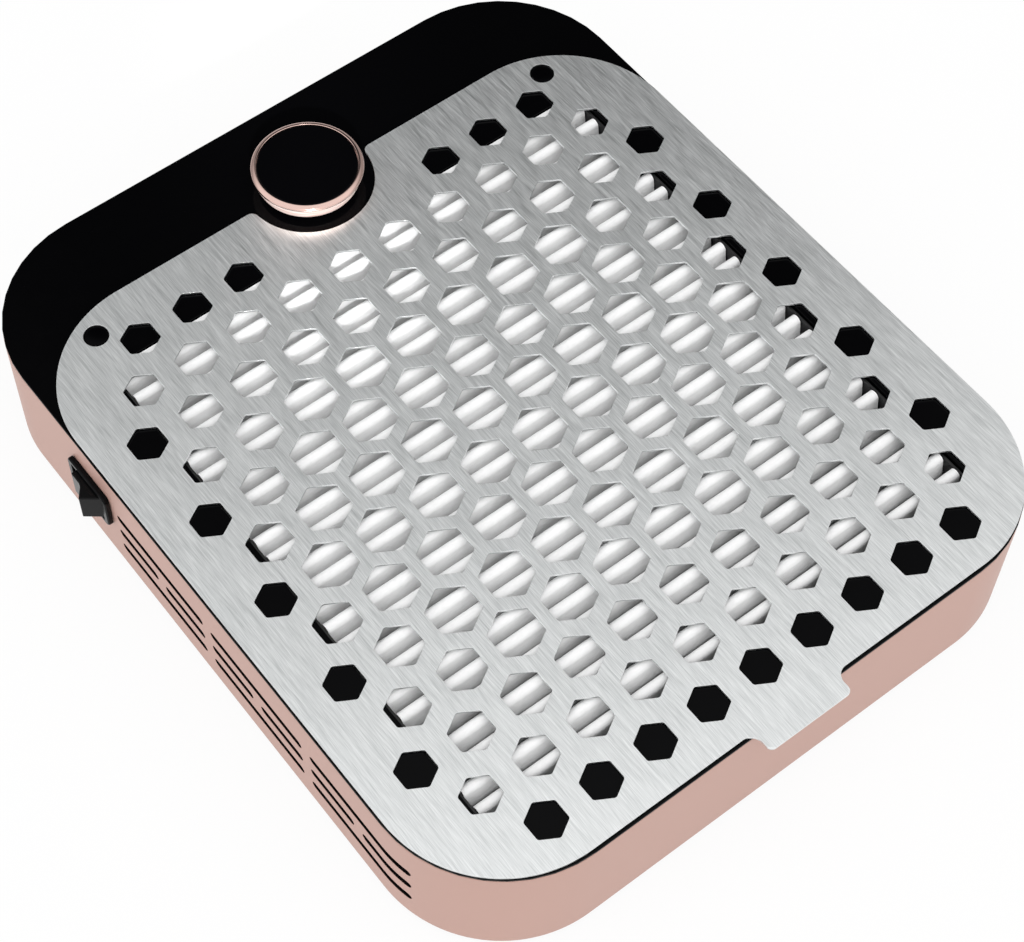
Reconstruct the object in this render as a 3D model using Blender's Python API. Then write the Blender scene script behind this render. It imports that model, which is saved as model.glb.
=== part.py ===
# Desk nail dust collector: a low case with a fan and a pleated filter under a perforated steel plate.
# Metres, +Z up. The user sits in front, towards -Y, and the power switch is on the left, towards -X.
# Places are counted from the middle of the case, at the height of the table that it stands on.

import bmesh
import bpy
from math import asin
from math import atan2
from math import cos
from math import pi
from math import radians
from math import sin
from math import sqrt
from math import tau
from mathutils import Matrix
from mathutils import Vector

# Fits
SEAT_GAP = 0.0003
RUNNING_GAP = 0.0001
SWING_GAP = 0.0004
OVERRUN = 0.0010
WELD_DISTANCE = 0.000001

# Case wall
CASE_WIDTH = 0.2300
CASE_LENGTH = 0.2716
CASE_HEIGHT = 0.0465
CASE_CORNER = 0.0426
WALL_THICKNESS = 0.0025
LIP_WIDTH = 0.0030
LIP_THICKNESS = 0.0020

# Vent slots, in rows along both side walls and round the front corners
SLOT_LENGTH = 0.0466
SLOT_HEIGHT = 0.0034
SLOT_SPACING = 0.0041
SLOT_ROW_PITCH = 0.0084
SLOT_TOP_DROP = 0.0183
SLOT_CORNER_WRAP = 0.0117
SLOT_LIP_MARGIN = 0.0055
SLOT_SWITCH_MARGIN = 0.0020
SLOT_BEND_SHARES = (0.6, 0.3, 0.0)

# Steel plate and its honeycomb of holes
PLATE_THICKNESS = 0.0008
PLATE_SIDE_INSET = 0.0005
PLATE_FRONT_INSET = 0.0008
PLATE_FRONT_CORNER = 0.0410
PLATE_BACK_CORNER = 0.0400
BARE_STRIP = 0.0334
HOLE_PITCH = 0.01955
HOLE_FRONT_INSET = 0.01447
HOLE_SIDE_INSET = 0.0140
HOLE_BACK_INSET = 0.0180
HOLE_WEB = 0.0030
HOLE_SIZES = (0.0113, 0.0123, 0.0132, 0.0152)
TAB_WIDTH = 0.0309
TAB_LENGTH = 0.0074
TAB_CORNER = 0.0020
TAB_ROOT_ROUND = 0.0038
NOTCH_RADIUS = 0.0217
NOTCH_ROUND = 0.0025

# Deck under the plate, with the filter's opening
DECK_THICKNESS = 0.0024
DECK_RIM_THICKNESS = 0.0009
DECK_EDGE_BEVEL = 0.0002
OPENING_SIDE_MARGIN = 0.0225
OPENING_FRONT_MARGIN = 0.0241
OPENING_BACK_MARGIN = 0.0562
OPENING_CORNER = 0.0035
POST_RADIUS = 0.0036
POST_SIDE_INSET = 0.0117
POST_END_INSET = 0.0408
STUD_RADIUS = 0.0038
STUD_TOP_DROP = 0.0002
STUD_SHANK_RADIUS = 0.0018
STUD_SHANK_LENGTH = 0.0040
STUD_SIDE_INSET = 0.0264
STUD_BACK_INSET = 0.0106
MAGNET_RADIUS = 0.0029
MAGNET_THICKNESS = 0.0014
MAGNET_SIDE_INSET = 0.0064
MAGNET_END_INSET = 0.0650

# Filter and the well that holds it
WELL_DEPTH = 0.0134
WELL_WALL = 0.0016
WELL_SETBACK = 0.0006
WELL_FLANGE_WIDTH = 0.0040
WELL_FLANGE_THICKNESS = 0.0020
FILTER_SIDE_WALL = 0.0008
FILTER_END_WALL = 0.0017
FILTER_TOP_DROP = 0.0012
FILTER_LEDGE_WIDTH = 0.0040
FILTER_LEDGE_THICKNESS = 0.0012
FILTER_RIB_WIDTH = 0.0020
FILTER_RIB_SHARES = (-0.5, 0.0, 0.5)
PLEAT_PITCH = 0.00716
PLEAT_TOP_DROP = 0.0007
PLEAT_CREST_RADIUS = 0.0019
PLEAT_VALLEY_RADIUS = 0.0005
PAPER_THICKNESS = 0.0004

# Fan
FAN_SIZE = 0.1200
FAN_THICKNESS = 0.0150
FAN_CORNER = 0.0060
FAN_RIM_WALL = 0.0025
FAN_SCREW_INSET = 0.0075
FAN_STRUT_WIDTH = 0.0050
FAN_STRUT_THICKNESS = 0.0018
FAN_HUB_RADIUS = 0.0190
FAN_HUB_WALL = 0.0013
FAN_HUB_GAP = 0.0008
FAN_TIP_GAP = 0.0015
BLADE_THICKNESS = 0.0012
BLADE_ROOT_CHORD = 0.0120
BLADE_TIP_CHORD = 0.0270
BEARING_RADIUS = 0.0040
BEARING_HEIGHT = 0.0025
BEARING_TUBE_WALL = 0.0009
SHAFT_RADIUS = 0.0015
SHAFT_BOSS_WALL = 0.0013
ROTOR_RING_THICKNESS = 0.0015
STATOR_GAP = 0.0005
STATOR_HEIGHT = 0.0062
FAN_SCREW_RADIUS = 0.0020
FAN_SCREW_HEAD_RADIUS = 0.0034
FAN_SCREW_LENGTH = 0.0110
GUARD_RING_WIDTH = 0.0030
GUARD_GAP = 0.0180
GUARD_SPOKE_WIDTH = 0.0040

# Speed knob and the potentiometer below it
KNOB_RADIUS = 0.0185
KNOB_FOOT_RADIUS = 0.0165
KNOB_TOP_RISE = 0.0077
KNOB_SIDE_HEIGHT = 0.0066
KNOB_EDGE_ROUND = 0.0005
KNOB_EDGE_DROP = 0.0009
KNOB_WALL = 0.0020
KNOB_HUB_RADIUS = 0.0058
DISC_RADIUS = 0.0164
DISC_THICKNESS = 0.0009
DISC_RECESS = 0.0002
COLLAR_RADIUS = 0.0130
COLLAR_HEIGHT = 0.0018
BUSH_RADIUS = 0.0045
NUT_ACROSS_FLATS = 0.0120
NUT_THICKNESS = 0.0018
POT_RADIUS = 0.0084
POT_HEIGHT = 0.0090
POT_SHAFT_RADIUS = 0.0030

# Rocker switch in the left wall
SWITCH_BACK_INSET = 0.0789
SWITCH_TOP_DROP = 0.0198
BEZEL_LENGTH = 0.0212
BEZEL_HEIGHT = 0.0150
BEZEL_REACH = 0.0020
BEZEL_EDGE_ROUND = 0.0007
BEZEL_OVERLAP = 0.0009
SWITCH_DEPTH = 0.0130
SWITCH_BACK_WALL = 0.0030
ROCKER_WIDTH = 0.0108
ROCKER_WING = 0.0052
ROCKER_VALLEY = 0.0020
ROCKER_END_FACE = 0.0070
ROCKER_PIVOT_REACH = 0.0018
TERMINAL_LENGTH = 0.0080
TERMINAL_WIDTH = 0.0048
TERMINAL_THICKNESS = 0.0008
TERMINAL_SPACING = 0.0090
TERMINAL_SEAT = 0.0015

# Power inlet in the back wall
INLET_SIDE_INSET = 0.0550
INLET_BELOW_TOP = 0.0240
INLET_FLANGE_RADIUS = 0.0070
INLET_FLANGE_REACH = 0.0020
INLET_THREAD_RADIUS = 0.0055
INLET_BORE_RADIUS = 0.0032
INLET_BORE_DEPTH = 0.0095
INLET_DEPTH = 0.0145
INLET_NUT_ACROSS_FLATS = 0.0140
INLET_NUT_THICKNESS = 0.0022
INLET_PIN_RADIUS = 0.0010
INLET_PIN_SEAT = 0.0020

# Base cover, with its pads, pillars, screws and feet
BASE_THICKNESS = 0.0022
BASE_EDGE_BEVEL = 0.0006
PAD_RADIUS = 0.0052
PAD_HEIGHT = 0.0020
PILLAR_RADIUS = 0.0042
CASE_SCREW_RADIUS = 0.0014
CASE_SCREW_HEAD_RADIUS = 0.0029
CASE_SCREW_HEAD_HEIGHT = 0.0016
CASE_SCREW_LENGTH = 0.0120
CASE_SCREW_SINK = 0.0020
FOOT_HEIGHT = 0.0020
FOOT_RADIUS = 0.0075
FOOT_SEAT_DEPTH = 0.0009
FOOT_EDGE_ROUND = 0.0006
FOOT_INSET = 0.0310

# Control board
BOARD_LENGTH = 0.0600
BOARD_WIDTH = 0.0340
BOARD_THICKNESS = 0.0016
BOARD_SIDE_PLACE = 0.0250
BOARD_BACK_INSET = 0.0080
BOARD_RISE = 0.0040
BOARD_SCREW_INSET = 0.0050
BOARD_SCREW_RADIUS = 0.0012
BOARD_SCREW_HEAD_RADIUS = 0.0024
BOARD_SCREW_HEAD_HEIGHT = 0.0014
BOARD_SCREW_LENGTH = 0.0052
STANDOFF_RADIUS = 0.0030
CAPACITOR_RADIUS = 0.0040
CAPACITOR_HEIGHT = 0.0100
TERMINAL_BLOCK_SIZE = (0.0150, 0.0075, 0.0085)
HEAT_SINK_SIZE = (0.0120, 0.0100, 0.0110)
HEAT_SINK_FIN = 0.0012

# Leads between the pieces inside
LEAD_RADIUS = 0.0009
LEAD_STRAIGHT = 0.0060
LEAD_FLOOR_GAP = 0.0020

# Drive recesses of the screws
RECESS_DEPTH = 0.0008
RECESS_WIDTH = 0.0007

# Counts and angles
CORNER_STEPS = 10
SMALL_CORNER_STEPS = 3
ROUND_STEPS = 24
SMALL_ROUND_STEPS = 12
SCREW_STEPS = 8
KNOB_STEPS = 40
SLOT_END_STEPS = 1
CREST_STEPS = 3
VALLEY_STEPS = 1
GUARD_SPOKES = 4
GUARD_STEPS = 6
BLADE_COUNT = 7
BLADE_STATIONS = 5
BLADE_ROOT_ANGLE = radians(38)
BLADE_TIP_ANGLE = radians(24)
BLADE_SWEEP = radians(14)
ROCKER_TILT = radians(19)
LEAD_POINTS = 12
SMOOTH_ANGLE = radians(35)

# Levels, from the table up
wall_bottom = FOOT_HEIGHT
plate_top = wall_bottom + CASE_HEIGHT
plate_bottom = plate_top - PLATE_THICKNESS
deck_top = plate_bottom - SEAT_GAP
deck_rim_bottom = deck_top - DECK_RIM_THICKNESS
deck_bottom = deck_top - DECK_THICKNESS
wall_top = deck_rim_bottom - SEAT_GAP
base_top = wall_bottom + BASE_THICKNESS
lip_bottom = base_top + SEAT_GAP
lip_top = lip_bottom + LIP_THICKNESS
pad_top = base_top + PAD_HEIGHT
well_top = deck_bottom - SEAT_GAP
well_floor_top = deck_top - WELL_DEPTH
well_floor_bottom = well_floor_top - WELL_WALL
fan_top = well_floor_bottom - SEAT_GAP
fan_bottom = fan_top - FAN_THICKNESS
filter_bottom = well_floor_top + SEAT_GAP
filter_ledge_top = filter_bottom + FILTER_LEDGE_THICKNESS
filter_top = deck_top - FILTER_TOP_DROP
pleat_top = deck_top - PLEAT_TOP_DROP
pleat_bottom = filter_ledge_top + SEAT_GAP
knob_top = plate_top + KNOB_TOP_RISE
knob_bottom = knob_top - KNOB_SIDE_HEIGHT
board_bottom = base_top + BOARD_RISE + SEAT_GAP
board_top = board_bottom + BOARD_THICKNESS
switch_level = plate_top - SWITCH_TOP_DROP
inlet_level = plate_top - INLET_BELOW_TOP

# Plan of the case
half_width = CASE_WIDTH / 2
half_length = CASE_LENGTH / 2
inner_half_width = half_width - WALL_THICKNESS
inner_half_length = half_length - WALL_THICKNESS
inner_corner = CASE_CORNER - WALL_THICKNESS
plate_half_width = half_width - PLATE_SIDE_INSET
plate_front = PLATE_FRONT_INSET - half_length
plate_back = half_length - BARE_STRIP
knob_place = plate_back
opening_half_width = half_width - OPENING_SIDE_MARGIN
opening_front = OPENING_FRONT_MARGIN - half_length
opening_back = half_length - OPENING_BACK_MARGIN
opening_half_length = (opening_back - opening_front) / 2
opening_middle = (opening_back + opening_front) / 2
well_half_width = opening_half_width + WELL_SETBACK
well_half_length = opening_half_length + WELL_SETBACK
filter_half_width = opening_half_width - SEAT_GAP
filter_half_length = opening_half_length - SEAT_GAP
post_x = half_width - POST_SIDE_INSET
post_y = half_length - POST_END_INSET
post_places = [(side * post_x, end * post_y) for end in (-1, 0, 1) for side in (-1, 1)]
fan_bore_radius = FAN_SIZE / 2 - FAN_RIM_WALL
fan_screw_reach = FAN_SIZE / 2 - FAN_SCREW_INSET
fan_corner_places = [
    (side * fan_screw_reach, opening_middle + end * fan_screw_reach)
    for end in (-1, 1) for side in (-1, 1)]
stud_places = [(side * (half_width - STUD_SIDE_INSET), plate_back - STUD_BACK_INSET) for side in (-1, 1)]
magnet_places = [
    (side * (half_width - MAGNET_SIDE_INSET), end * (half_length - MAGNET_END_INSET))
    for end in (-1, 1) for side in (-1, 1)]
foot_places = [
    (side * (half_width - FOOT_INSET), end * (half_length - FOOT_INSET))
    for end in (-1, 1) for side in (-1, 1)]
switch_place = half_length - SWITCH_BACK_INSET
inlet_place = half_width - INLET_SIDE_INSET
board_place = inner_half_length - BOARD_BACK_INSET - BOARD_WIDTH / 2
board_screw_places = [
    (BOARD_SIDE_PLACE + side * (BOARD_LENGTH / 2 - BOARD_SCREW_INSET),
     board_place + side * (BOARD_WIDTH / 2 - BOARD_SCREW_INSET)) for side in (-1, 1)]

# Rocker in its own frame: along the wall, and out of it, from the pivot
rocker_crest = (ROCKER_WING * cos(ROCKER_TILT), ROCKER_VALLEY + ROCKER_WING * sin(ROCKER_TILT))
rocker_heel = (
    rocker_crest[0] + ROCKER_END_FACE * sin(ROCKER_TILT),
    rocker_crest[1] - ROCKER_END_FACE * cos(ROCKER_TILT))
rocker_heel_reach = sqrt(rocker_heel[0] ** 2 + rocker_heel[1] ** 2)
rocker_reach = ROCKER_PIVOT_REACH + rocker_crest[0] * sin(ROCKER_TILT) + rocker_crest[1] * cos(ROCKER_TILT)

# The object's box, whose middle stands over the origin
left_reach = half_width + rocker_reach
front_reach = TAB_LENGTH - plate_front
back_reach = half_length + INLET_FLANGE_REACH
case_offset = Vector(((left_reach - half_width) / 2, (front_reach - back_reach) / 2, 0))


# Materials

def finish(name, colour, roughness, metallic=0.0):
    """A Principled material from an sRGB colour of six hex digits."""
    material = bpy.data.materials.new(name)
    material.use_nodes = True
    channels = [int(colour[at:at + 2], 16) / 255 for at in (0, 2, 4)]
    linear = [((part + 0.055) / 1.055) ** 2.4 if part > 0.04045 else part / 12.92 for part in channels]
    shader = material.node_tree.nodes["Principled BSDF"]
    shader.inputs["Base Color"].default_value = (*linear, 1)
    shader.inputs["Roughness"].default_value = roughness
    shader.inputs["Metallic"].default_value = metallic
    material.diffuse_color = (*linear, 1)
    return material


# Modelling helpers

def arc(centre, radius, start, end, steps):
    """Points along an arc in the plane, both ends included, counter-clockwise where end is the larger."""
    angles = [start + (end - start) * step / steps for step in range(steps + 1)]
    return [(centre[0] + radius * cos(angle), centre[1] + radius * sin(angle)) for angle in angles]


def rounded_outline(half_x, half_y, corner, steps=CORNER_STEPS, middle=(0, 0)):
    """A rounded rectangle, counter-clockwise from its front right corner."""
    points = []
    for quarter, (side, end) in enumerate(((1, -1), (1, 1), (-1, 1), (-1, -1))):
        centre = (middle[0] + side * (half_x - corner), middle[1] + end * (half_y - corner))
        points += arc(centre, corner, (quarter - 1) * pi / 2, quarter * pi / 2, steps)
    return points


def polygon(sides, across_flats, centre=(0, 0), turn=0.0):
    """A regular polygon of an even number of sides, with a corner at the angle turn."""
    radius = across_flats / 2 / cos(pi / sides)
    angles = [turn + tau * side / sides for side in range(sides)]
    return [(centre[0] + radius * cos(angle), centre[1] + radius * sin(angle)) for angle in angles]


def prism(bm, outline, low, high):
    """Extrude a flat outline from one level to another."""
    face = bm.faces.new([bm.verts.new((x, y, low)) for x, y in outline])
    made = bmesh.ops.extrude_face_region(bm, geom=[face])
    top = [item for item in made["geom"] if isinstance(item, bmesh.types.BMVert)]
    bmesh.ops.translate(bm, verts=top, vec=(0, 0, high - low))
    bmesh.ops.recalc_face_normals(bm, faces=bm.faces)


def skin(bm, loops, ring=False):
    """Skin a stack of loops of 3-D points, capped at its ends or closed as a ring."""
    rows = [[bm.verts.new(point) for point in loop] for loop in loops]
    pairs = list(zip(rows, rows[1:]))
    if ring:
        pairs.append((rows[-1], rows[0]))
    for low, high in pairs:
        for at in range(len(low)):
            after = (at + 1) % len(low)
            bm.faces.new((low[at], low[after], high[after], high[at]))
    if not ring:
        bm.faces.new(rows[0])
        bm.faces.new(rows[-1])
    bmesh.ops.recalc_face_normals(bm, faces=bm.faces)


def stack(bm, rows, ring=False, steps=CORNER_STEPS, middle=(0, 0)):
    """Skin rounded rectangles, each given as half width, half length, corner radius and level."""
    loops = []
    for half_x, half_y, corner, level in rows:
        outline = rounded_outline(half_x, half_y, max(corner, OVERRUN / 2), steps, middle)
        loops.append([(x, y, level) for x, y in outline])
    skin(bm, loops, ring)


def turned(bm, profile, steps=ROUND_STEPS, centre=(0, 0)):
    """Spin a profile of radius and level about an upright axis; it may start and end on the axis."""
    closed = profile[0][0] > 0
    verts = [bm.verts.new((centre[0] + radius, centre[1], level)) for radius, level in profile]
    edges = [bm.edges.new(pair) for pair in zip(verts, verts[1:])]
    if closed:
        edges.append(bm.edges.new((verts[-1], verts[0])))
    bmesh.ops.spin(
        bm, geom=verts + edges, axis=(0, 0, 1), cent=(*centre, 0), angle=tau, steps=steps, use_merge=True)
    bmesh.ops.remove_doubles(bm, verts=bm.verts, dist=WELD_DISTANCE)
    bmesh.ops.recalc_face_normals(bm, faces=bm.faces)


def rod(bm, radius, low, high, centre=(0, 0), steps=SMALL_ROUND_STEPS):
    """An upright round bar."""
    prism(bm, polygon(steps, 2 * radius * cos(pi / steps), centre), low, high)


def block(bm, low, high):
    """A plain box between two corners."""
    outline = ((low[0], low[1]), (high[0], low[1]), (high[0], high[1]), (low[0], high[1]))
    prism(bm, outline, low[2], high[2])


def add_shape(bm, other):
    """Add another bmesh's faces to this one."""
    carrier = bpy.data.meshes.new("carrier")
    other.to_mesh(carrier)
    other.free()
    bm.from_mesh(carrier)
    bpy.data.meshes.remove(carrier)


def new_object(name, bm):
    """Turn a bmesh into an object whose place is counted from the middle of the case."""
    mesh = bpy.data.meshes.new(name)
    bm.to_mesh(mesh)
    bm.free()
    thing = bpy.data.objects.new(name, mesh)
    bpy.context.collection.objects.link(thing)
    thing.parent = case_centre
    return thing


def piece(name, bm, material, place=(0, 0, 0), rotation=(0, 0, 0)):
    """One physical piece, with its own material."""
    thing = new_object(name, bm)
    thing.data.materials.append(material)
    thing.data.shade_smooth()
    thing.data.set_sharp_from_angle(angle=SMOOTH_ANGLE)
    thing.location = place
    thing.rotation_euler = rotation
    return thing


def combine(thing, bm, operation):
    """Cut a tool shape out of a piece, or join it on, with a Boolean modifier."""
    tool = new_object(f"{thing.name}_{operation.lower()}_{len(thing.modifiers)}", bm)
    tool.location = thing.location
    tool.rotation_euler = thing.rotation_euler
    tool.hide_render = True
    tool.display_type = "WIRE"
    modifier = thing.modifiers.new(tool.name, "BOOLEAN")
    modifier.operation = operation
    modifier.solver = "EXACT"
    modifier.object = tool


def copy_of(name, thing, place):
    """Another piece of the same kind, which shares its mesh and is cut by the same tool shapes."""
    twin = thing.copy()
    twin.name = name
    bpy.context.collection.objects.link(twin)
    shift = Vector(place) - thing.location
    twin.location = place
    for modifier in twin.modifiers:
        tool = modifier.object.copy()
        bpy.context.collection.objects.link(tool)
        tool.location = modifier.object.location + shift
        modifier.object = tool
    return twin


# Case wall

def wall_point(along, inward, level):
    """A point on the left wall, by its distance back from the front left corner's start.

    A negative distance goes round the corner, measured on the outer face.
    """
    corner_centre = Vector((CASE_CORNER - half_width, CASE_CORNER - half_length))
    angle = max(-along, 0) / CASE_CORNER
    outward = Vector((-cos(angle), -sin(angle)))
    point = corner_centre + outward * (CASE_CORNER - inward) + Vector((0, max(along, 0)))
    return Vector((point.x, point.y, level))


def vent_slot(bm, start, end, level, side):
    """A slot with round ends, cut through the wall between two distances along it."""
    half = SLOT_HEIGHT / 2
    angles = [pi / 2 * (step + 1) / (SLOT_END_STEPS + 1) for step in range(SLOT_END_STEPS + 1)]
    columns = [(start + half * (1 - cos(angle)), half * sin(angle)) for angle in angles]
    mirrored = [(start + end - along, rise) for along, rise in reversed(columns)]
    bends = []
    if start + half < 0:
        bends = [(start * share, half) for share in SLOT_BEND_SHARES]
    loops = []
    for along, rise in columns + bends + mirrored:
        loop = [
            wall_point(along, -OVERRUN, level - rise), wall_point(along, -OVERRUN, level + rise),
            wall_point(along, WALL_THICKNESS + OVERRUN, level + rise),
            wall_point(along, WALL_THICKNESS + OVERRUN, level - rise)]
        loops.append([(side * point.x, point.y, point.z) for point in loop])
    skin(bm, loops)


def vent_rows():
    """Start, end and level of each slot: every second row is split into half slots."""
    first_level = plate_top - SLOT_TOP_DROP
    rows = int((first_level - lip_top - SLOT_LIP_MARGIN) / SLOT_ROW_PITCH) + 1
    switch_front = switch_place - BEZEL_LENGTH / 2 - SLOT_SWITCH_MARGIN
    free_length = switch_front + half_length - CASE_CORNER + SLOT_CORNER_WRAP
    groups = int((free_length + SLOT_SPACING) / (SLOT_LENGTH + SLOT_SPACING))
    half_slot = (SLOT_LENGTH - SLOT_SPACING) / 2
    slots = []
    for row in range(rows):
        level = first_level - row * SLOT_ROW_PITCH
        for group in range(groups):
            start = group * (SLOT_LENGTH + SLOT_SPACING) - SLOT_CORNER_WRAP
            if row % 2:
                slots.append((start, start + half_slot, level))
                slots.append((start + half_slot + SLOT_SPACING, start + SLOT_LENGTH, level))
            else:
                slots.append((start, start + SLOT_LENGTH, level))
    return slots


def make_side_wall():
    bm = bmesh.new()
    lip_half_width = inner_half_width - LIP_WIDTH
    lip_half_length = inner_half_length - LIP_WIDTH
    lip_corner = inner_corner - LIP_WIDTH
    stack(bm, (
        (half_width, half_length, CASE_CORNER, wall_bottom),
        (half_width, half_length, CASE_CORNER, wall_top),
        (inner_half_width, inner_half_length, inner_corner, wall_top),
        (inner_half_width, inner_half_length, inner_corner, lip_top),
        (lip_half_width, lip_half_length, lip_corner, lip_top),
        (lip_half_width, lip_half_length, lip_corner, lip_bottom),
        (inner_half_width, inner_half_length, inner_corner, lip_bottom),
        (inner_half_width, inner_half_length, inner_corner, wall_bottom)), ring=True)
    wall = piece("side_wall", bm, rose_paint)
    cuts = bmesh.new()
    for start, end, level in vent_rows():
        for side in (-1, 1):
            vent_slot(cuts, start, end, level, side)
    half_cut_length = BEZEL_LENGTH / 2 - BEZEL_OVERLAP
    half_cut_height = BEZEL_HEIGHT / 2 - BEZEL_OVERLAP
    block(
        cuts,
        (-half_width - OVERRUN, switch_place - half_cut_length, switch_level - half_cut_height),
        (OVERRUN - inner_half_width, switch_place + half_cut_length, switch_level + half_cut_height))
    hole = bmesh.new()
    hole_radius = INLET_THREAD_RADIUS + SEAT_GAP
    rod(hole, hole_radius, -WALL_THICKNESS - OVERRUN, OVERRUN)
    hole.transform(
        Matrix.Translation((inlet_place, half_length, inlet_level)) @ Matrix.Rotation(-pi / 2, 4, "X"))
    add_shape(cuts, hole)
    combine(wall, cuts, "DIFFERENCE")


# Deck

def make_top_deck():
    inset = WALL_THICKNESS + SEAT_GAP
    bm = bmesh.new()
    stack(bm, (
        (half_width - inset, half_length - inset, CASE_CORNER - inset, deck_bottom),
        (half_width - inset, half_length - inset, CASE_CORNER - inset, deck_rim_bottom),
        (half_width, half_length, CASE_CORNER, deck_rim_bottom),
        (half_width, half_length, CASE_CORNER, deck_top - DECK_EDGE_BEVEL),
        (half_width - DECK_EDGE_BEVEL, half_length - DECK_EDGE_BEVEL,
         CASE_CORNER - DECK_EDGE_BEVEL, deck_top)))
    deck = piece("top_deck", bm, deck_gloss)
    added = bmesh.new()
    for place in post_places:
        rod(added, POST_RADIUS, pad_top + SEAT_GAP, deck_bottom + OVERRUN, place)
    rod(added, COLLAR_RADIUS, deck_top - OVERRUN, deck_top + COLLAR_HEIGHT, (0, knob_place), ROUND_STEPS)
    combine(deck, added, "UNION")
    cuts = bmesh.new()
    opening = rounded_outline(
        opening_half_width, opening_half_length, OPENING_CORNER, SMALL_CORNER_STEPS, (0, opening_middle))
    prism(cuts, opening, deck_bottom - OVERRUN, deck_top + OVERRUN)
    nut_room = NUT_ACROSS_FLATS / 2 / cos(pi / 6) + SEAT_GAP
    turned(cuts, (
        (0, deck_bottom - OVERRUN), (BUSH_RADIUS + SEAT_GAP, deck_bottom - OVERRUN),
        (BUSH_RADIUS + SEAT_GAP, deck_top), (nut_room, deck_top),
        (nut_room, deck_top + COLLAR_HEIGHT + OVERRUN), (0, deck_top + COLLAR_HEIGHT + OVERRUN)),
        SMALL_ROUND_STEPS, (0, knob_place))
    for place in stud_places:
        turned(cuts, (
            (0, deck_bottom - OVERRUN), (STUD_SHANK_RADIUS + SEAT_GAP, deck_bottom - OVERRUN),
            (STUD_SHANK_RADIUS + SEAT_GAP, deck_top - DECK_THICKNESS / 2),
            (STUD_RADIUS + SEAT_GAP, deck_top - DECK_THICKNESS / 2),
            (STUD_RADIUS + SEAT_GAP, deck_top + OVERRUN), (0, deck_top + OVERRUN)),
            SMALL_ROUND_STEPS, place)
    for place in magnet_places:
        rod(cuts, MAGNET_RADIUS + SEAT_GAP, deck_top - MAGNET_THICKNESS - SEAT_GAP, deck_top + OVERRUN,
            place)
    pilot_depth = CASE_SCREW_LENGTH + SEAT_GAP
    for place in post_places:
        rod(cuts, CASE_SCREW_RADIUS + SEAT_GAP, pad_top - OVERRUN,
            wall_bottom + pilot_depth + CASE_SCREW_SINK, place, SCREW_STEPS)
    combine(deck, cuts, "DIFFERENCE")


def make_locating_studs():
    head_bottom = deck_top - DECK_THICKNESS / 2 + SEAT_GAP
    for side, place in zip(("left", "right"), stud_places):
        bm = bmesh.new()
        turned(bm, (
            (0, head_bottom - STUD_SHANK_LENGTH), (STUD_SHANK_RADIUS, head_bottom - STUD_SHANK_LENGTH),
            (STUD_SHANK_RADIUS, head_bottom), (STUD_RADIUS, head_bottom),
            (STUD_RADIUS, plate_top - STUD_TOP_DROP), (0, plate_top - STUD_TOP_DROP)), SMALL_ROUND_STEPS)
        piece(f"locating_stud_{side}", bm, black_plastic, (*place, 0))


def make_magnets():
    names = ("front_left", "front_right", "back_left", "back_right")
    for name, place in zip(names, magnet_places):
        bm = bmesh.new()
        rod(bm, MAGNET_RADIUS, deck_top - MAGNET_THICKNESS, deck_top)
        piece(f"plate_magnet_{name}", bm, magnet_steel, (*place, 0))


# Steel plate

def plate_outline():
    """Outline with a finger tab in front and a round notch for the knob behind, counter-clockwise."""
    front_centre_y = plate_front + PLATE_FRONT_CORNER
    back_centre_y = plate_back - PLATE_BACK_CORNER
    front_centre_x = plate_half_width - PLATE_FRONT_CORNER
    back_centre_x = plate_half_width - PLATE_BACK_CORNER
    tab_half = TAB_WIDTH / 2
    tab_front = plate_front - TAB_LENGTH
    slope = asin(NOTCH_ROUND / (NOTCH_RADIUS + NOTCH_ROUND))
    mouth_x = (NOTCH_RADIUS + NOTCH_ROUND) * cos(slope)
    mouth_y = plate_back - NOTCH_ROUND
    root_y = plate_front - TAB_ROOT_ROUND
    points = arc((front_centre_x, front_centre_y), PLATE_FRONT_CORNER, -pi / 2, 0, CORNER_STEPS)
    points += arc((back_centre_x, back_centre_y), PLATE_BACK_CORNER, 0, pi / 2, CORNER_STEPS)
    points += arc((mouth_x, mouth_y), NOTCH_ROUND, pi / 2, pi - slope, SMALL_CORNER_STEPS)
    points += arc((0, knob_place), NOTCH_RADIUS, -slope, slope - pi, ROUND_STEPS // 2)[1:-1]
    points += arc((-mouth_x, mouth_y), NOTCH_ROUND, slope, pi / 2, SMALL_CORNER_STEPS)
    points += arc((-back_centre_x, back_centre_y), PLATE_BACK_CORNER, pi / 2, pi, CORNER_STEPS)
    points += arc((-front_centre_x, front_centre_y), PLATE_FRONT_CORNER, pi, 3 * pi / 2, CORNER_STEPS)
    points += arc((-tab_half - TAB_ROOT_ROUND, root_y), TAB_ROOT_ROUND, pi / 2, 0, SMALL_CORNER_STEPS)
    points += arc((TAB_CORNER - tab_half, tab_front + TAB_CORNER), TAB_CORNER, pi, 3 * pi / 2,
                  SMALL_CORNER_STEPS)
    points += arc((tab_half - TAB_CORNER, tab_front + TAB_CORNER), TAB_CORNER, -pi / 2, 0,
                  SMALL_CORNER_STEPS)
    points += arc((tab_half + TAB_ROOT_ROUND, root_y), TAB_ROOT_ROUND, pi, pi / 2, SMALL_CORNER_STEPS)
    return points


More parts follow.
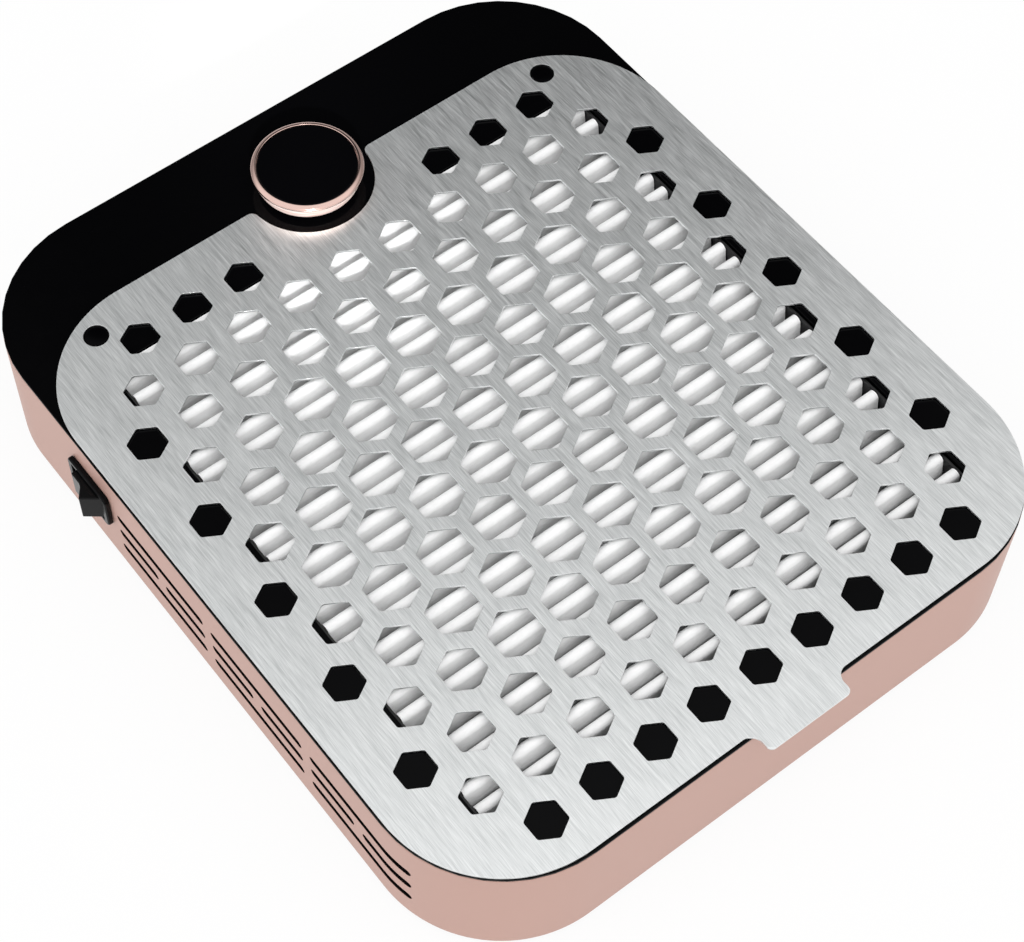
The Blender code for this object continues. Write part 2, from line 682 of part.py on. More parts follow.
def inside_plate(x, y, reach):
    """Whether a round of this reach stays clear of the plate's corners, notch and stud holes."""
    room = reach + HOLE_WEB
    corner = PLATE_BACK_CORNER if y > 0 else PLATE_FRONT_CORNER
    corner_y = plate_back - corner if y > 0 else plate_front + corner
    past_x = max(abs(x) - (plate_half_width - corner), 0)
    past_y = max((y - corner_y) if y > 0 else (corner_y - y), 0)
    clear_of_corner = sqrt(past_x ** 2 + past_y ** 2) + room <= corner
    clear_of_notch = sqrt(x ** 2 + (y - knob_place) ** 2) - room >= NOTCH_RADIUS
    stud_x, stud_y = stud_places[1]
    stud_distance = sqrt((abs(x) - stud_x) ** 2 + (y - stud_y) ** 2)
    clear_of_stud = stud_distance - room >= STUD_RADIUS + SEAT_GAP
    return clear_of_corner and clear_of_notch and clear_of_stud


def plate_holes():
    """Centre and size of each hexagonal hole: the honeycomb's holes grow from its edge inwards."""
    row_pitch = HOLE_PITCH * sin(pi / 3)
    columns = int((plate_half_width - HOLE_SIDE_INSET) / HOLE_PITCH)
    last_row = int((plate_back - plate_front - HOLE_FRONT_INSET - HOLE_BACK_INSET) / row_pitch)
    holes = []
    for row in range(last_row + 1):
        y = plate_front + HOLE_FRONT_INSET + row * row_pitch
        shift = (row % 2) / 2
        for column in range(-columns, columns + 1 - row % 2):
            place = column + shift
            from_side = 2 * (columns - abs(place))
            from_end = min(row, last_row - row)
            grade = int(min((from_side + from_end) / 2 - 1, from_end, len(HOLE_SIZES) - 1))
            size = HOLE_SIZES[max(grade, 0)] if from_side > 0 else HOLE_SIZES[0]
            if inside_plate(place * HOLE_PITCH, y, size / 2 / cos(pi / 6)):
                holes.append((place * HOLE_PITCH, y, size))
    return holes


def make_grille_plate():
    bm = bmesh.new()
    prism(bm, plate_outline(), plate_bottom, plate_top)
    plate = piece("grille_plate", bm, brushed_steel)
    cuts = bmesh.new()
    for x, y, size in plate_holes():
        prism(cuts, polygon(6, size, (x, y), pi / 2), plate_bottom - OVERRUN, plate_top + OVERRUN)
    for place in stud_places:
        rod(cuts, STUD_RADIUS + SEAT_GAP, plate_bottom - OVERRUN, plate_top + OVERRUN, place)
    combine(plate, cuts, "DIFFERENCE")


# Filter and well

def ring_sector(bm, inner, outer, start, end, low, high):
    """A sector of a flat ring."""
    outline = arc((0, opening_middle), outer, start, end, GUARD_STEPS)
    outline += arc((0, opening_middle), inner, end, start, GUARD_STEPS)
    prism(bm, outline, low, high)


def make_filter_well():
    inner = (well_half_width, well_half_length, OPENING_CORNER + WELL_SETBACK)
    outer = tuple(size + WELL_WALL for size in inner)
    flange = tuple(size + WELL_FLANGE_WIDTH for size in outer)
    flange_bottom = well_top - WELL_FLANGE_THICKNESS
    bm = bmesh.new()
    stack(bm, (
        (*outer, well_floor_bottom), (*outer, flange_bottom), (*flange, flange_bottom), (*flange, well_top),
        (*inner, well_top), (*inner, well_floor_top)), steps=SMALL_CORNER_STEPS, middle=(0, opening_middle))
    well = piece("filter_well", bm, well_plastic)
    cuts = bmesh.new()
    low = well_floor_bottom - OVERRUN
    high = well_floor_top + OVERRUN
    guard_outer = fan_bore_radius
    while guard_outer - GUARD_GAP > FAN_HUB_RADIUS / 2:
        guard_inner = guard_outer - GUARD_GAP
        for spoke in range(GUARD_SPOKES):
            lean = asin(GUARD_SPOKE_WIDTH / 2 / guard_inner)
            start = tau * spoke / GUARD_SPOKES + lean
            end = start + tau / GUARD_SPOKES - 2 * lean
            ring_sector(cuts, guard_inner, guard_outer, start, end, low, high)
        guard_outer = guard_inner - GUARD_RING_WIDTH
    for place in fan_corner_places:
        turned(cuts, (
            (0, low), (FAN_SCREW_RADIUS + SEAT_GAP, low), (FAN_SCREW_RADIUS + SEAT_GAP, well_floor_bottom),
            (FAN_SCREW_HEAD_RADIUS + 2 * SEAT_GAP, well_floor_top),
            (FAN_SCREW_HEAD_RADIUS + 2 * SEAT_GAP, high), (0, high)), SCREW_STEPS, place)
    combine(well, cuts, "DIFFERENCE")


def make_filter_frame():
    corner = OPENING_CORNER - SEAT_GAP
    inner_x = filter_half_width - FILTER_SIDE_WALL
    inner_y = filter_half_length - FILTER_END_WALL
    inner_round = 2 * SEAT_GAP
    ledge_x = inner_x - FILTER_LEDGE_WIDTH
    ledge_y = inner_y - FILTER_LEDGE_WIDTH
    bm = bmesh.new()
    stack(bm, (
        (filter_half_width, filter_half_length, corner, filter_bottom),
        (filter_half_width, filter_half_length, corner, filter_top),
        (inner_x, inner_y, inner_round, filter_top),
        (inner_x, inner_y, inner_round, filter_ledge_top),
        (ledge_x, ledge_y, inner_round, filter_ledge_top),
        (ledge_x, ledge_y, inner_round, filter_bottom)), ring=True, steps=SMALL_CORNER_STEPS)
    frame = piece("filter_frame", bm, black_plastic, (0, opening_middle, 0))
    ribs = bmesh.new()
    for share in FILTER_RIB_SHARES:
        middle = share * ledge_x
        block(
            ribs, (middle - FILTER_RIB_WIDTH / 2, -ledge_y - OVERRUN, filter_bottom + SEAT_GAP),
            (middle + FILTER_RIB_WIDTH / 2, ledge_y + OVERRUN, filter_ledge_top - SEAT_GAP))
    combine(frame, ribs, "UNION")


def pleat_surface(count, pitch, crest_radius, valley_radius, crest_level, valley_level):
    """Points along one face of the folded paper, from its front end to its back end."""
    rise = crest_level - valley_level
    lean = 0.0
    for _ in range(40):
        reach = pitch / 2 - (crest_radius + valley_radius) * cos(lean)
        drop = rise + (crest_radius + valley_radius) * sin(lean)
        lean = atan2(reach, drop)
    turn = pi / 2 - lean
    half = count * pitch / 2
    points = [(-half, valley_level - valley_radius)]
    for fold in range(count):
        middle = (fold + 0.5) * pitch - half
        points += [
            (middle - pitch / 2 + valley_radius * sin(turn * step / VALLEY_STEPS),
             valley_level - valley_radius * cos(turn * step / VALLEY_STEPS))
            for step in range(1, VALLEY_STEPS + 1)]
        points += [
            (middle + crest_radius * sin(turn * (2 * step / CREST_STEPS - 1)),
             crest_level + crest_radius * cos(turn * (2 * step / CREST_STEPS - 1)))
            for step in range(CREST_STEPS + 1)]
        points += [
            (middle + pitch / 2 - valley_radius * sin(turn * (1 - step / VALLEY_STEPS)),
             valley_level - valley_radius * cos(turn * (1 - step / VALLEY_STEPS)))
            for step in range(VALLEY_STEPS)]
        points.append((middle + pitch / 2, valley_level - valley_radius))
    return points


def make_filter_media():
    """One sheet of paper folded into pleats that run from side to side."""
    half_x = filter_half_width - FILTER_SIDE_WALL - SEAT_GAP
    length = 2 * (filter_half_length - FILTER_END_WALL - SEAT_GAP)
    count = int(length / PLEAT_PITCH)
    pitch = length / count
    crest_level = pleat_top - PLEAT_CREST_RADIUS
    valley_level = pleat_bottom + PAPER_THICKNESS + PLEAT_VALLEY_RADIUS
    upper = pleat_surface(count, pitch, PLEAT_CREST_RADIUS, PLEAT_VALLEY_RADIUS, crest_level, valley_level)
    lower = pleat_surface(
        count, pitch, PLEAT_CREST_RADIUS - PAPER_THICKNESS, PLEAT_VALLEY_RADIUS + PAPER_THICKNESS,
        crest_level, valley_level)
    outline = upper + lower[::-1]
    bm = bmesh.new()
    skin(bm, [[(x, y, level) for y, level in outline] for x in (-half_x, half_x)])
    piece("filter_media", bm, filter_paper, (0, opening_middle, 0))


# Fan

def make_fan_frame():
    half = FAN_SIZE / 2
    bm = bmesh.new()
    prism(bm, rounded_outline(half, half, FAN_CORNER, SMALL_CORNER_STEPS), fan_bottom, fan_top)
    frame = piece("fan_frame", bm, fan_plastic, (0, opening_middle, 0))
    bore = bmesh.new()
    rod(bore, fan_bore_radius, fan_bottom - OVERRUN, fan_top + OVERRUN, steps=2 * ROUND_STEPS)
    for side in (-1, 1):
        for end in (-1, 1):
            place = (side * fan_screw_reach, end * fan_screw_reach)
            rod(bore, FAN_SCREW_RADIUS + SEAT_GAP, fan_bottom - OVERRUN, fan_top + OVERRUN, place,
                SCREW_STEPS)
    combine(frame, bore, "DIFFERENCE")
    spider = bmesh.new()
    strut_top = fan_bottom + FAN_STRUT_THICKNESS
    reach = fan_bore_radius + OVERRUN
    angle = asin(FAN_STRUT_WIDTH / 2 / FAN_HUB_RADIUS)
    outline = []
    for strut in range(4):
        ahead = Vector((cos(strut * pi / 2 + pi / 4), sin(strut * pi / 2 + pi / 4)))
        aside = Vector((-ahead.y, ahead.x)) * FAN_STRUT_WIDTH / 2
        outline += [tuple(ahead * reach - aside), tuple(ahead * reach + aside)]
        start = (strut + 0.5) * pi / 2 + angle
        outline += arc((0, 0), FAN_HUB_RADIUS, start, start + pi / 2 - 2 * angle, GUARD_STEPS)
    prism(spider, outline, fan_bottom + OVERRUN / 4, strut_top)
    tube_inner = BEARING_RADIUS + SEAT_GAP
    tube_outer = tube_inner + BEARING_TUBE_WALL
    tube_top = bearing_levels()[1] + BEARING_HEIGHT
    combine(frame, spider, "UNION")
    tube = bmesh.new()
    turned(tube, (
        (tube_inner, strut_top - OVERRUN), (tube_outer, strut_top - OVERRUN), (tube_outer, tube_top),
        (tube_inner, tube_top)), SMALL_ROUND_STEPS)
    combine(frame, tube, "UNION")


def bearing_levels():
    """Lower ends of the two bearings, counted from the table."""
    lower = fan_bottom + FAN_STRUT_THICKNESS + SEAT_GAP
    return lower, lower + STATOR_HEIGHT - SEAT_GAP


def make_bearings():
    for name, level in zip(("lower", "upper"), bearing_levels()):
        bm = bmesh.new()
        inner = SHAFT_RADIUS + RUNNING_GAP
        turned(bm, (
            (inner, level), (BEARING_RADIUS, level), (BEARING_RADIUS, level + BEARING_HEIGHT),
            (inner, level + BEARING_HEIGHT)), SMALL_ROUND_STEPS)
        piece(f"fan_bearing_{name}", bm, bearing_steel, (0, opening_middle, 0))


def stator_radius():
    """Outer radius of the motor's windings, inside the rotor's magnet ring."""
    return FAN_HUB_RADIUS - FAN_HUB_WALL - SEAT_GAP - ROTOR_RING_THICKNESS - STATOR_GAP


def make_fan_stator():
    inner = BEARING_RADIUS + SEAT_GAP + BEARING_TUBE_WALL + SEAT_GAP
    outer = stator_radius()
    low = fan_bottom + FAN_STRUT_THICKNESS + SEAT_GAP
    high = low + STATOR_HEIGHT
    bm = bmesh.new()
    waist = (high - low) / 4
    core = outer - (outer - inner) / 4
    turned(bm, (
        (inner, low), (core, low), (core, low + waist), (outer, low + waist), (outer, high - waist),
        (core, high - waist), (core, high), (inner, high)), SMALL_ROUND_STEPS)
    stator = piece("fan_stator", bm, copper_windings, (0, opening_middle, 0))
    slots = bmesh.new()
    for slot in range(6):
        ahead = tau * slot / 6
        bar = bmesh.new()
        block(bar, (core, -STATOR_GAP, low - OVERRUN), (outer + OVERRUN, STATOR_GAP, high + OVERRUN))
        bar.transform(Matrix.Rotation(ahead, 4, "Z"))
        add_shape(slots, bar)
    combine(stator, slots, "DIFFERENCE")


def impeller_levels():
    """Lower edge and top of the impeller's hub."""
    return fan_bottom + FAN_STRUT_THICKNESS + FAN_HUB_GAP, fan_top - FAN_HUB_GAP


def make_fan_impeller():
    low, high = impeller_levels()
    cap_bottom = high - FAN_HUB_WALL
    bore = SHAFT_RADIUS + SEAT_GAP
    boss = bore + SHAFT_BOSS_WALL
    boss_bottom = bearing_levels()[1] + BEARING_HEIGHT + FAN_HUB_GAP
    bm = bmesh.new()
    turned(bm, (
        (0, high), (FAN_HUB_RADIUS, high), (FAN_HUB_RADIUS, low), (FAN_HUB_RADIUS - FAN_HUB_WALL, low),
        (FAN_HUB_RADIUS - FAN_HUB_WALL, cap_bottom), (boss, cap_bottom), (boss, boss_bottom),
        (bore, boss_bottom), (bore, cap_bottom), (0, cap_bottom)))
    impeller = piece("fan_impeller", bm, fan_plastic, (0, opening_middle, 0))
    blades = bmesh.new()
    root = FAN_HUB_RADIUS - FAN_HUB_WALL / 2
    tip = fan_bore_radius - FAN_TIP_GAP
    middle_level = (low + high) / 2
    for blade in range(BLADE_COUNT):
        loops = []
        for station in range(BLADE_STATIONS + 1):
            share = station / BLADE_STATIONS
            radius = root + (tip - root) * share
            chord = BLADE_ROOT_CHORD + (BLADE_TIP_CHORD - BLADE_ROOT_CHORD) * share
            pitch = BLADE_ROOT_ANGLE + (BLADE_TIP_ANGLE - BLADE_ROOT_ANGLE) * share
            middle = tau * blade / BLADE_COUNT + BLADE_SWEEP * share
            loop = []
            for along, side in ((-1, -1), (0, -1), (1, -1), (1, 1), (0, 1), (-1, 1)):
                run = along * chord / 2 * cos(pitch) - side * BLADE_THICKNESS / 2 * sin(pitch)
                level = along * chord / 2 * sin(pitch) + side * BLADE_THICKNESS / 2 * cos(pitch)
                angle = middle + run / radius
                level = min(max(level, low - middle_level + OVERRUN / 4), high - middle_level - OVERRUN / 4)
                loop.append((radius * cos(angle), radius * sin(angle), middle_level + level))
            loops.append(loop)
        skin(blades, loops)
    combine(impeller, blades, "UNION")


def make_fan_shaft():
    top = impeller_levels()[1] - FAN_HUB_WALL - SEAT_GAP
    bm = bmesh.new()
    rod(bm, SHAFT_RADIUS, bearing_levels()[0], top)
    piece("fan_shaft", bm, bearing_steel, (0, opening_middle, 0))


def make_rotor_ring():
    low, high = impeller_levels()
    outer = FAN_HUB_RADIUS - FAN_HUB_WALL - SEAT_GAP
    inner = outer - ROTOR_RING_THICKNESS
    top = high - FAN_HUB_WALL - SEAT_GAP
    bm = bmesh.new()
    turned(bm, ((inner, low), (outer, low), (outer, top), (inner, top)))
    piece("fan_rotor_ring", bm, magnet_steel, (0, opening_middle, 0))


# Screws

def screw_recess(top, lower=True):
    """A cross recess in a screw's head, below its top level or above its bottom level."""
    bm = bmesh.new()
    far = top + OVERRUN if lower else top - OVERRUN
    near = top - RECESS_DEPTH if lower else top + RECESS_DEPTH
    arm = RECESS_WIDTH / 2
    reach = 2 * RECESS_WIDTH
    outline = (
        (reach, -arm), (reach, arm), (arm, arm), (arm, reach), (-arm, reach), (-arm, arm), (-reach, arm),
        (-reach, -arm), (-arm, -arm), (-arm, -reach), (arm, -reach), (arm, -arm))
    prism(bm, outline, min(far, near), max(far, near))
    return bm


def make_fan_screws():
    names = ("front_left", "front_right", "back_left", "back_right")
    top = well_floor_top - SEAT_GAP
    first = None
    for name, place in zip(names, fan_corner_places):
        if first:
            copy_of(f"fan_screw_{name}", first, (*place, 0))
            continue
        bm = bmesh.new()
        turned(bm, (
            (0, top - FAN_SCREW_LENGTH), (FAN_SCREW_RADIUS, top - FAN_SCREW_LENGTH),
            (FAN_SCREW_RADIUS, well_floor_bottom), (FAN_SCREW_HEAD_RADIUS, top), (0, top)), SCREW_STEPS)
        first = piece(f"fan_screw_{name}", bm, screw_steel, (*place, 0))
        combine(first, screw_recess(top), "DIFFERENCE")


def make_case_screws():
    names = ("front_left", "front_right", "middle_left", "middle_right", "back_left", "back_right")
    head_bottom = wall_bottom + CASE_SCREW_SINK - CASE_SCREW_HEAD_HEIGHT
    head_top = wall_bottom + CASE_SCREW_SINK
    first = None
    for name, place in zip(names, post_places):
        if first:
            copy_of(f"case_screw_{name}", first, (*place, 0))
            continue
        bm = bmesh.new()
        turned(bm, (
            (0, head_bottom), (CASE_SCREW_HEAD_RADIUS, head_bottom), (CASE_SCREW_HEAD_RADIUS, head_top),
            (CASE_SCREW_RADIUS, head_top), (CASE_SCREW_RADIUS, head_top + CASE_SCREW_LENGTH),
            (0, head_top + CASE_SCREW_LENGTH)), SCREW_STEPS)
        first = piece(f"case_screw_{name}", bm, screw_steel, (*place, 0))
        combine(first, screw_recess(head_bottom, lower=False), "DIFFERENCE")


def make_board_screws():
    first = None
    for name, place in zip(("left", "right"), board_screw_places):
        if first:
            copy_of(f"board_screw_{name}", first, (*place, 0))
            continue
        head_bottom = board_top + SEAT_GAP
        head_top = head_bottom + BOARD_SCREW_HEAD_HEIGHT
        bm = bmesh.new()
        turned(bm, (
            (0, head_bottom - BOARD_SCREW_LENGTH), (BOARD_SCREW_RADIUS, head_bottom - BOARD_SCREW_LENGTH),
            (BOARD_SCREW_RADIUS, head_bottom), (BOARD_SCREW_HEAD_RADIUS, head_bottom),
            (BOARD_SCREW_HEAD_RADIUS, head_top), (0, head_top)), SCREW_STEPS)
        first = piece(f"board_screw_{name}", bm, screw_steel, (*place, 0))
        combine(first, screw_recess(head_top), "DIFFERENCE")


# Knob and potentiometer

def pot_levels():
    """Lower and upper end of the potentiometer's can."""
    return deck_bottom - SEAT_GAP - POT_HEIGHT, deck_bottom - SEAT_GAP


def nut_levels():
    """Lower and upper face of the potentiometer's nut."""
    return deck_top + SEAT_GAP, deck_top + SEAT_GAP + NUT_THICKNESS


def make_knob_body():
    disc_seat = knob_top - DISC_RECESS - DISC_THICKNESS - SEAT_GAP
    recess_radius = DISC_RADIUS + SEAT_GAP
    cavity_top = disc_seat - KNOB_WALL / 2
    cavity_radius = KNOB_FOOT_RADIUS - KNOB_WALL
    bore = POT_SHAFT_RADIUS + SEAT_GAP
    hub_bottom = nut_levels()[1] + 2 * SEAT_GAP
    bm = bmesh.new()
    turned(bm, (
        (0, disc_seat), (recess_radius, disc_seat), (recess_radius, knob_top),
        (KNOB_RADIUS - KNOB_EDGE_ROUND, knob_top - KNOB_EDGE_DROP / 2),
        (KNOB_RADIUS, knob_top - KNOB_EDGE_DROP),
        (KNOB_FOOT_RADIUS, knob_bottom),
        (cavity_radius, knob_bottom), (cavity_radius, cavity_top), (KNOB_HUB_RADIUS, cavity_top),
        (KNOB_HUB_RADIUS, hub_bottom), (bore, hub_bottom), (bore, cavity_top), (0, cavity_top)),
        KNOB_STEPS)
    piece("knob_body", bm, rose_polish, (0, knob_place, 0))


def make_knob_disc():
    bm = bmesh.new()
    top = knob_top - DISC_RECESS
    bottom = top - DISC_THICKNESS
    turned(bm, ((0, bottom), (DISC_RADIUS, bottom), (DISC_RADIUS, top), (0, top)), KNOB_STEPS)
    piece("knob_disc", bm, disc_gloss, (0, knob_place, 0))


def make_potentiometer():
    low, high = pot_levels()
    nut_low, nut_high = nut_levels()
    shaft_top = knob_top - DISC_RECESS - DISC_THICKNESS - 2 * SEAT_GAP - KNOB_WALL / 2
    bore = POT_SHAFT_RADIUS + RUNNING_GAP
    place = (0, knob_place, 0)
    body = bmesh.new()
    turned(body, (
        (0, low), (POT_RADIUS, low), (POT_RADIUS, high), (BUSH_RADIUS, high), (BUSH_RADIUS, nut_high),
        (bore, nut_high), (bore, high - POT_HEIGHT / 2), (0, high - POT_HEIGHT / 2)))
    piece("speed_potentiometer", body, plated_steel, place)
    shaft = bmesh.new()
    rod(shaft, POT_SHAFT_RADIUS, high - POT_HEIGHT / 2 + SEAT_GAP, shaft_top, steps=ROUND_STEPS)
    piece("potentiometer_shaft", shaft, bearing_steel, place)
    nut = bmesh.new()
    prism(nut, polygon(6, NUT_ACROSS_FLATS), nut_low, nut_high)
    nut_piece = piece("potentiometer_nut", nut, screw_steel, place)
    hole = bmesh.new()
    rod(hole, BUSH_RADIUS + SEAT_GAP, nut_low - OVERRUN, nut_high + OVERRUN)
    combine(nut_piece, hole, "DIFFERENCE")


# Rocker switch

def make_switch_body():
    """Bezel and housing, modelled lying on its back and turned to face out of the left wall."""
    housing = (BEZEL_LENGTH / 2 - BEZEL_OVERLAP - SEAT_GAP, BEZEL_HEIGHT / 2 - BEZEL_OVERLAP - SEAT_GAP)
    bezel = (BEZEL_LENGTH / 2, BEZEL_HEIGHT / 2)
    cavity = (rocker_heel_reach + SWING_GAP, ROCKER_WIDTH / 2 + SEAT_GAP)
    top = tuple(size - BEZEL_EDGE_ROUND for size in bezel)
    bm = bmesh.new()
    stack(bm, (
        (*housing, BEZEL_EDGE_ROUND, -SWITCH_DEPTH), (*housing, BEZEL_EDGE_ROUND, SEAT_GAP),
        (*bezel, BEZEL_EDGE_ROUND, SEAT_GAP), (*bezel, BEZEL_EDGE_ROUND, BEZEL_REACH - BEZEL_EDGE_ROUND),
        (*top, BEZEL_EDGE_ROUND, BEZEL_REACH), (*cavity, BEZEL_EDGE_ROUND / 2, BEZEL_REACH),
        (*cavity, BEZEL_EDGE_ROUND / 2, SWITCH_BACK_WALL - SWITCH_DEPTH)), steps=2)
    place = (-half_width, switch_place, switch_level)
    body = piece("switch_body", bm, switch_plastic, place, SWITCH_FACING)
    slots = bmesh.new()
    for side in (-1, 1):
        block(slots, *terminal_box(side, SEAT_GAP))
    combine(body, slots, "DIFFERENCE")


def terminal_box(side, room=0.0):
    """Corners of a terminal blade in the switch's own frame, grown by some room."""
    middle = side * TERMINAL_SPACING / 2
    inner_end = TERMINAL_SEAT - SWITCH_DEPTH
    return (
        (middle - TERMINAL_THICKNESS / 2 - room, -TERMINAL_WIDTH / 2 - room,
         inner_end - TERMINAL_SEAT - TERMINAL_LENGTH),
        (middle + TERMINAL_THICKNESS / 2 + room, TERMINAL_WIDTH / 2 + room, inner_end + room))


def make_switch_terminals():
    for name, side in (("front", 1), ("back", -1)):
        bm = bmesh.new()
        block(bm, *terminal_box(side))
        place = (-half_width, switch_place, switch_level)
        piece(f"switch_terminal_{name}", bm, plated_steel, place, SWITCH_FACING)


def make_switch_rocker():
    """A rocker with two wings that meet in a shallow valley, tipped so that the front wing stands out."""
    outline = (
        (0, ROCKER_VALLEY), (-rocker_crest[0], rocker_crest[1]), (-rocker_heel[0], rocker_heel[1]),
        (rocker_heel[0], rocker_heel[1]), (rocker_crest[0], rocker_crest[1]))
    bm = bmesh.new()
    prism(bm, [(-out, along) for along, out in outline], -ROCKER_WIDTH / 2, ROCKER_WIDTH / 2)
    place = (-half_width - ROCKER_PIVOT_REACH, switch_place, switch_level)
    piece("switch_rocker", bm, rocker_plastic, place, (0, 0, -ROCKER_TILT))


# Power inlet

def make_power_inlet():
    """Socket with a flange outside and a thread inside, modelled upright and laid into the back wall."""
    place = (inlet_place, half_length, inlet_level)
    bm = bmesh.new()
    turned(bm, (
        (0, -INLET_DEPTH), (INLET_THREAD_RADIUS, -INLET_DEPTH), (INLET_THREAD_RADIUS, SEAT_GAP),
        (INLET_FLANGE_RADIUS, SEAT_GAP), (INLET_FLANGE_RADIUS, INLET_FLANGE_REACH - SEAT_GAP),
        (INLET_FLANGE_RADIUS - SEAT_GAP, INLET_FLANGE_REACH), (INLET_BORE_RADIUS, INLET_FLANGE_REACH),
        (INLET_BORE_RADIUS, INLET_FLANGE_REACH - INLET_BORE_DEPTH),
        (INLET_PIN_RADIUS + SEAT_GAP, INLET_FLANGE_REACH - INLET_BORE_DEPTH),
        (INLET_PIN_RADIUS + SEAT_GAP, INLET_FLANGE_REACH - INLET_BORE_DEPTH - INLET_PIN_SEAT),
        (0, INLET_FLANGE_REACH - INLET_BORE_DEPTH - INLET_PIN_SEAT)))
    piece("power_inlet", bm, black_plastic, place, INLET_FACING)
    pin = bmesh.new()
    rod(pin, INLET_PIN_RADIUS, INLET_FLANGE_REACH - INLET_BORE_DEPTH - INLET_PIN_SEAT + SEAT_GAP,
        -SEAT_GAP, steps=SCREW_STEPS)
    piece("power_inlet_pin", pin, plated_steel, place, INLET_FACING)
    nut = bmesh.new()
    nut_top = -WALL_THICKNESS - SEAT_GAP
    prism(nut, polygon(6, INLET_NUT_ACROSS_FLATS), nut_top - INLET_NUT_THICKNESS, nut_top)
    nut_piece = piece("power_inlet_nut", nut, screw_steel, place, INLET_FACING)
    hole = bmesh.new()
    rod(hole, INLET_THREAD_RADIUS + SEAT_GAP, nut_top - INLET_NUT_THICKNESS - OVERRUN, nut_top + OVERRUN,
        steps=ROUND_STEPS)
    combine(nut_piece, hole, "DIFFERENCE")


# Base cover and feet

def make_base_cover():
    cover = (
        inner_half_width - SEAT_GAP, inner_half_length - SEAT_GAP, inner_corner - SEAT_GAP)
    lower = tuple(size - BASE_EDGE_BEVEL for size in cover)
    bm = bmesh.new()
    stack(bm, ((*lower, wall_bottom), (*cover, wall_bottom + BASE_EDGE_BEVEL), (*cover, base_top)))
    base = piece("base_cover", bm, base_plastic)
    added = bmesh.new()
    for place in post_places:
        rod(added, PAD_RADIUS, base_top - OVERRUN, pad_top, place)
    for place in fan_corner_places:
        rod(added, PILLAR_RADIUS, base_top - OVERRUN, fan_bottom - SEAT_GAP, place)
    for place in board_screw_places:
        rod(added, STANDOFF_RADIUS, base_top - OVERRUN, board_bottom - SEAT_GAP, place)
    combine(base, added, "UNION")
    cuts = bmesh.new()
    sink = wall_bottom + CASE_SCREW_SINK + SEAT_GAP
    for place in post_places:
        turned(cuts, (
            (0, wall_bottom - OVERRUN), (CASE_SCREW_HEAD_RADIUS + SEAT_GAP, wall_bottom - OVERRUN),
            (CASE_SCREW_HEAD_RADIUS + SEAT_GAP, sink), (CASE_SCREW_RADIUS + SEAT_GAP, sink),
            (CASE_SCREW_RADIUS + SEAT_GAP, pad_top + OVERRUN), (0, pad_top + OVERRUN)), SCREW_STEPS, place)
    for place in board_screw_places:
        rod(cuts, BOARD_SCREW_RADIUS + SEAT_GAP, board_top - BOARD_SCREW_LENGTH, board_bottom + OVERRUN,
            place, SCREW_STEPS)
    for place in foot_places:
        rod(cuts, FOOT_RADIUS + SEAT_GAP, wall_bottom - OVERRUN, wall_bottom + FOOT_SEAT_DEPTH, place)
    combine(base, cuts, "DIFFERENCE")


def make_feet():
    names = ("front_left", "front_right", "back_left", "back_right")
    for name, place in zip(names, foot_places):
        bm = bmesh.new()
        top = wall_bottom + FOOT_SEAT_DEPTH - SEAT_GAP
        turned(bm, (
            (0, 0), (FOOT_RADIUS - FOOT_EDGE_ROUND, 0), (FOOT_RADIUS, FOOT_EDGE_ROUND), (FOOT_RADIUS, top),
            (0, top)), SMALL_ROUND_STEPS)
        piece(f"foot_{name}", bm, foot_rubber, (*place, 0))


# Control board

def make_control_board():
    half_x = BOARD_LENGTH / 2
    half_y = BOARD_WIDTH / 2
    bm = bmesh.new()
    prism(bm, rounded_outline(half_x, half_y, BOARD_THICKNESS, 2), board_bottom, board_top)
    board = piece("control_board", bm, board_laminate, (BOARD_SIDE_PLACE, board_place, 0))
    holes = bmesh.new()
    for side in (-1, 1):
        place = (side * (half_x - BOARD_SCREW_INSET), side * (half_y - BOARD_SCREW_INSET))
        rod(holes, BOARD_SCREW_RADIUS + SEAT_GAP, board_bottom - OVERRUN, board_top + OVERRUN, place,
            SCREW_STEPS)
    combine(board, holes, "DIFFERENCE")


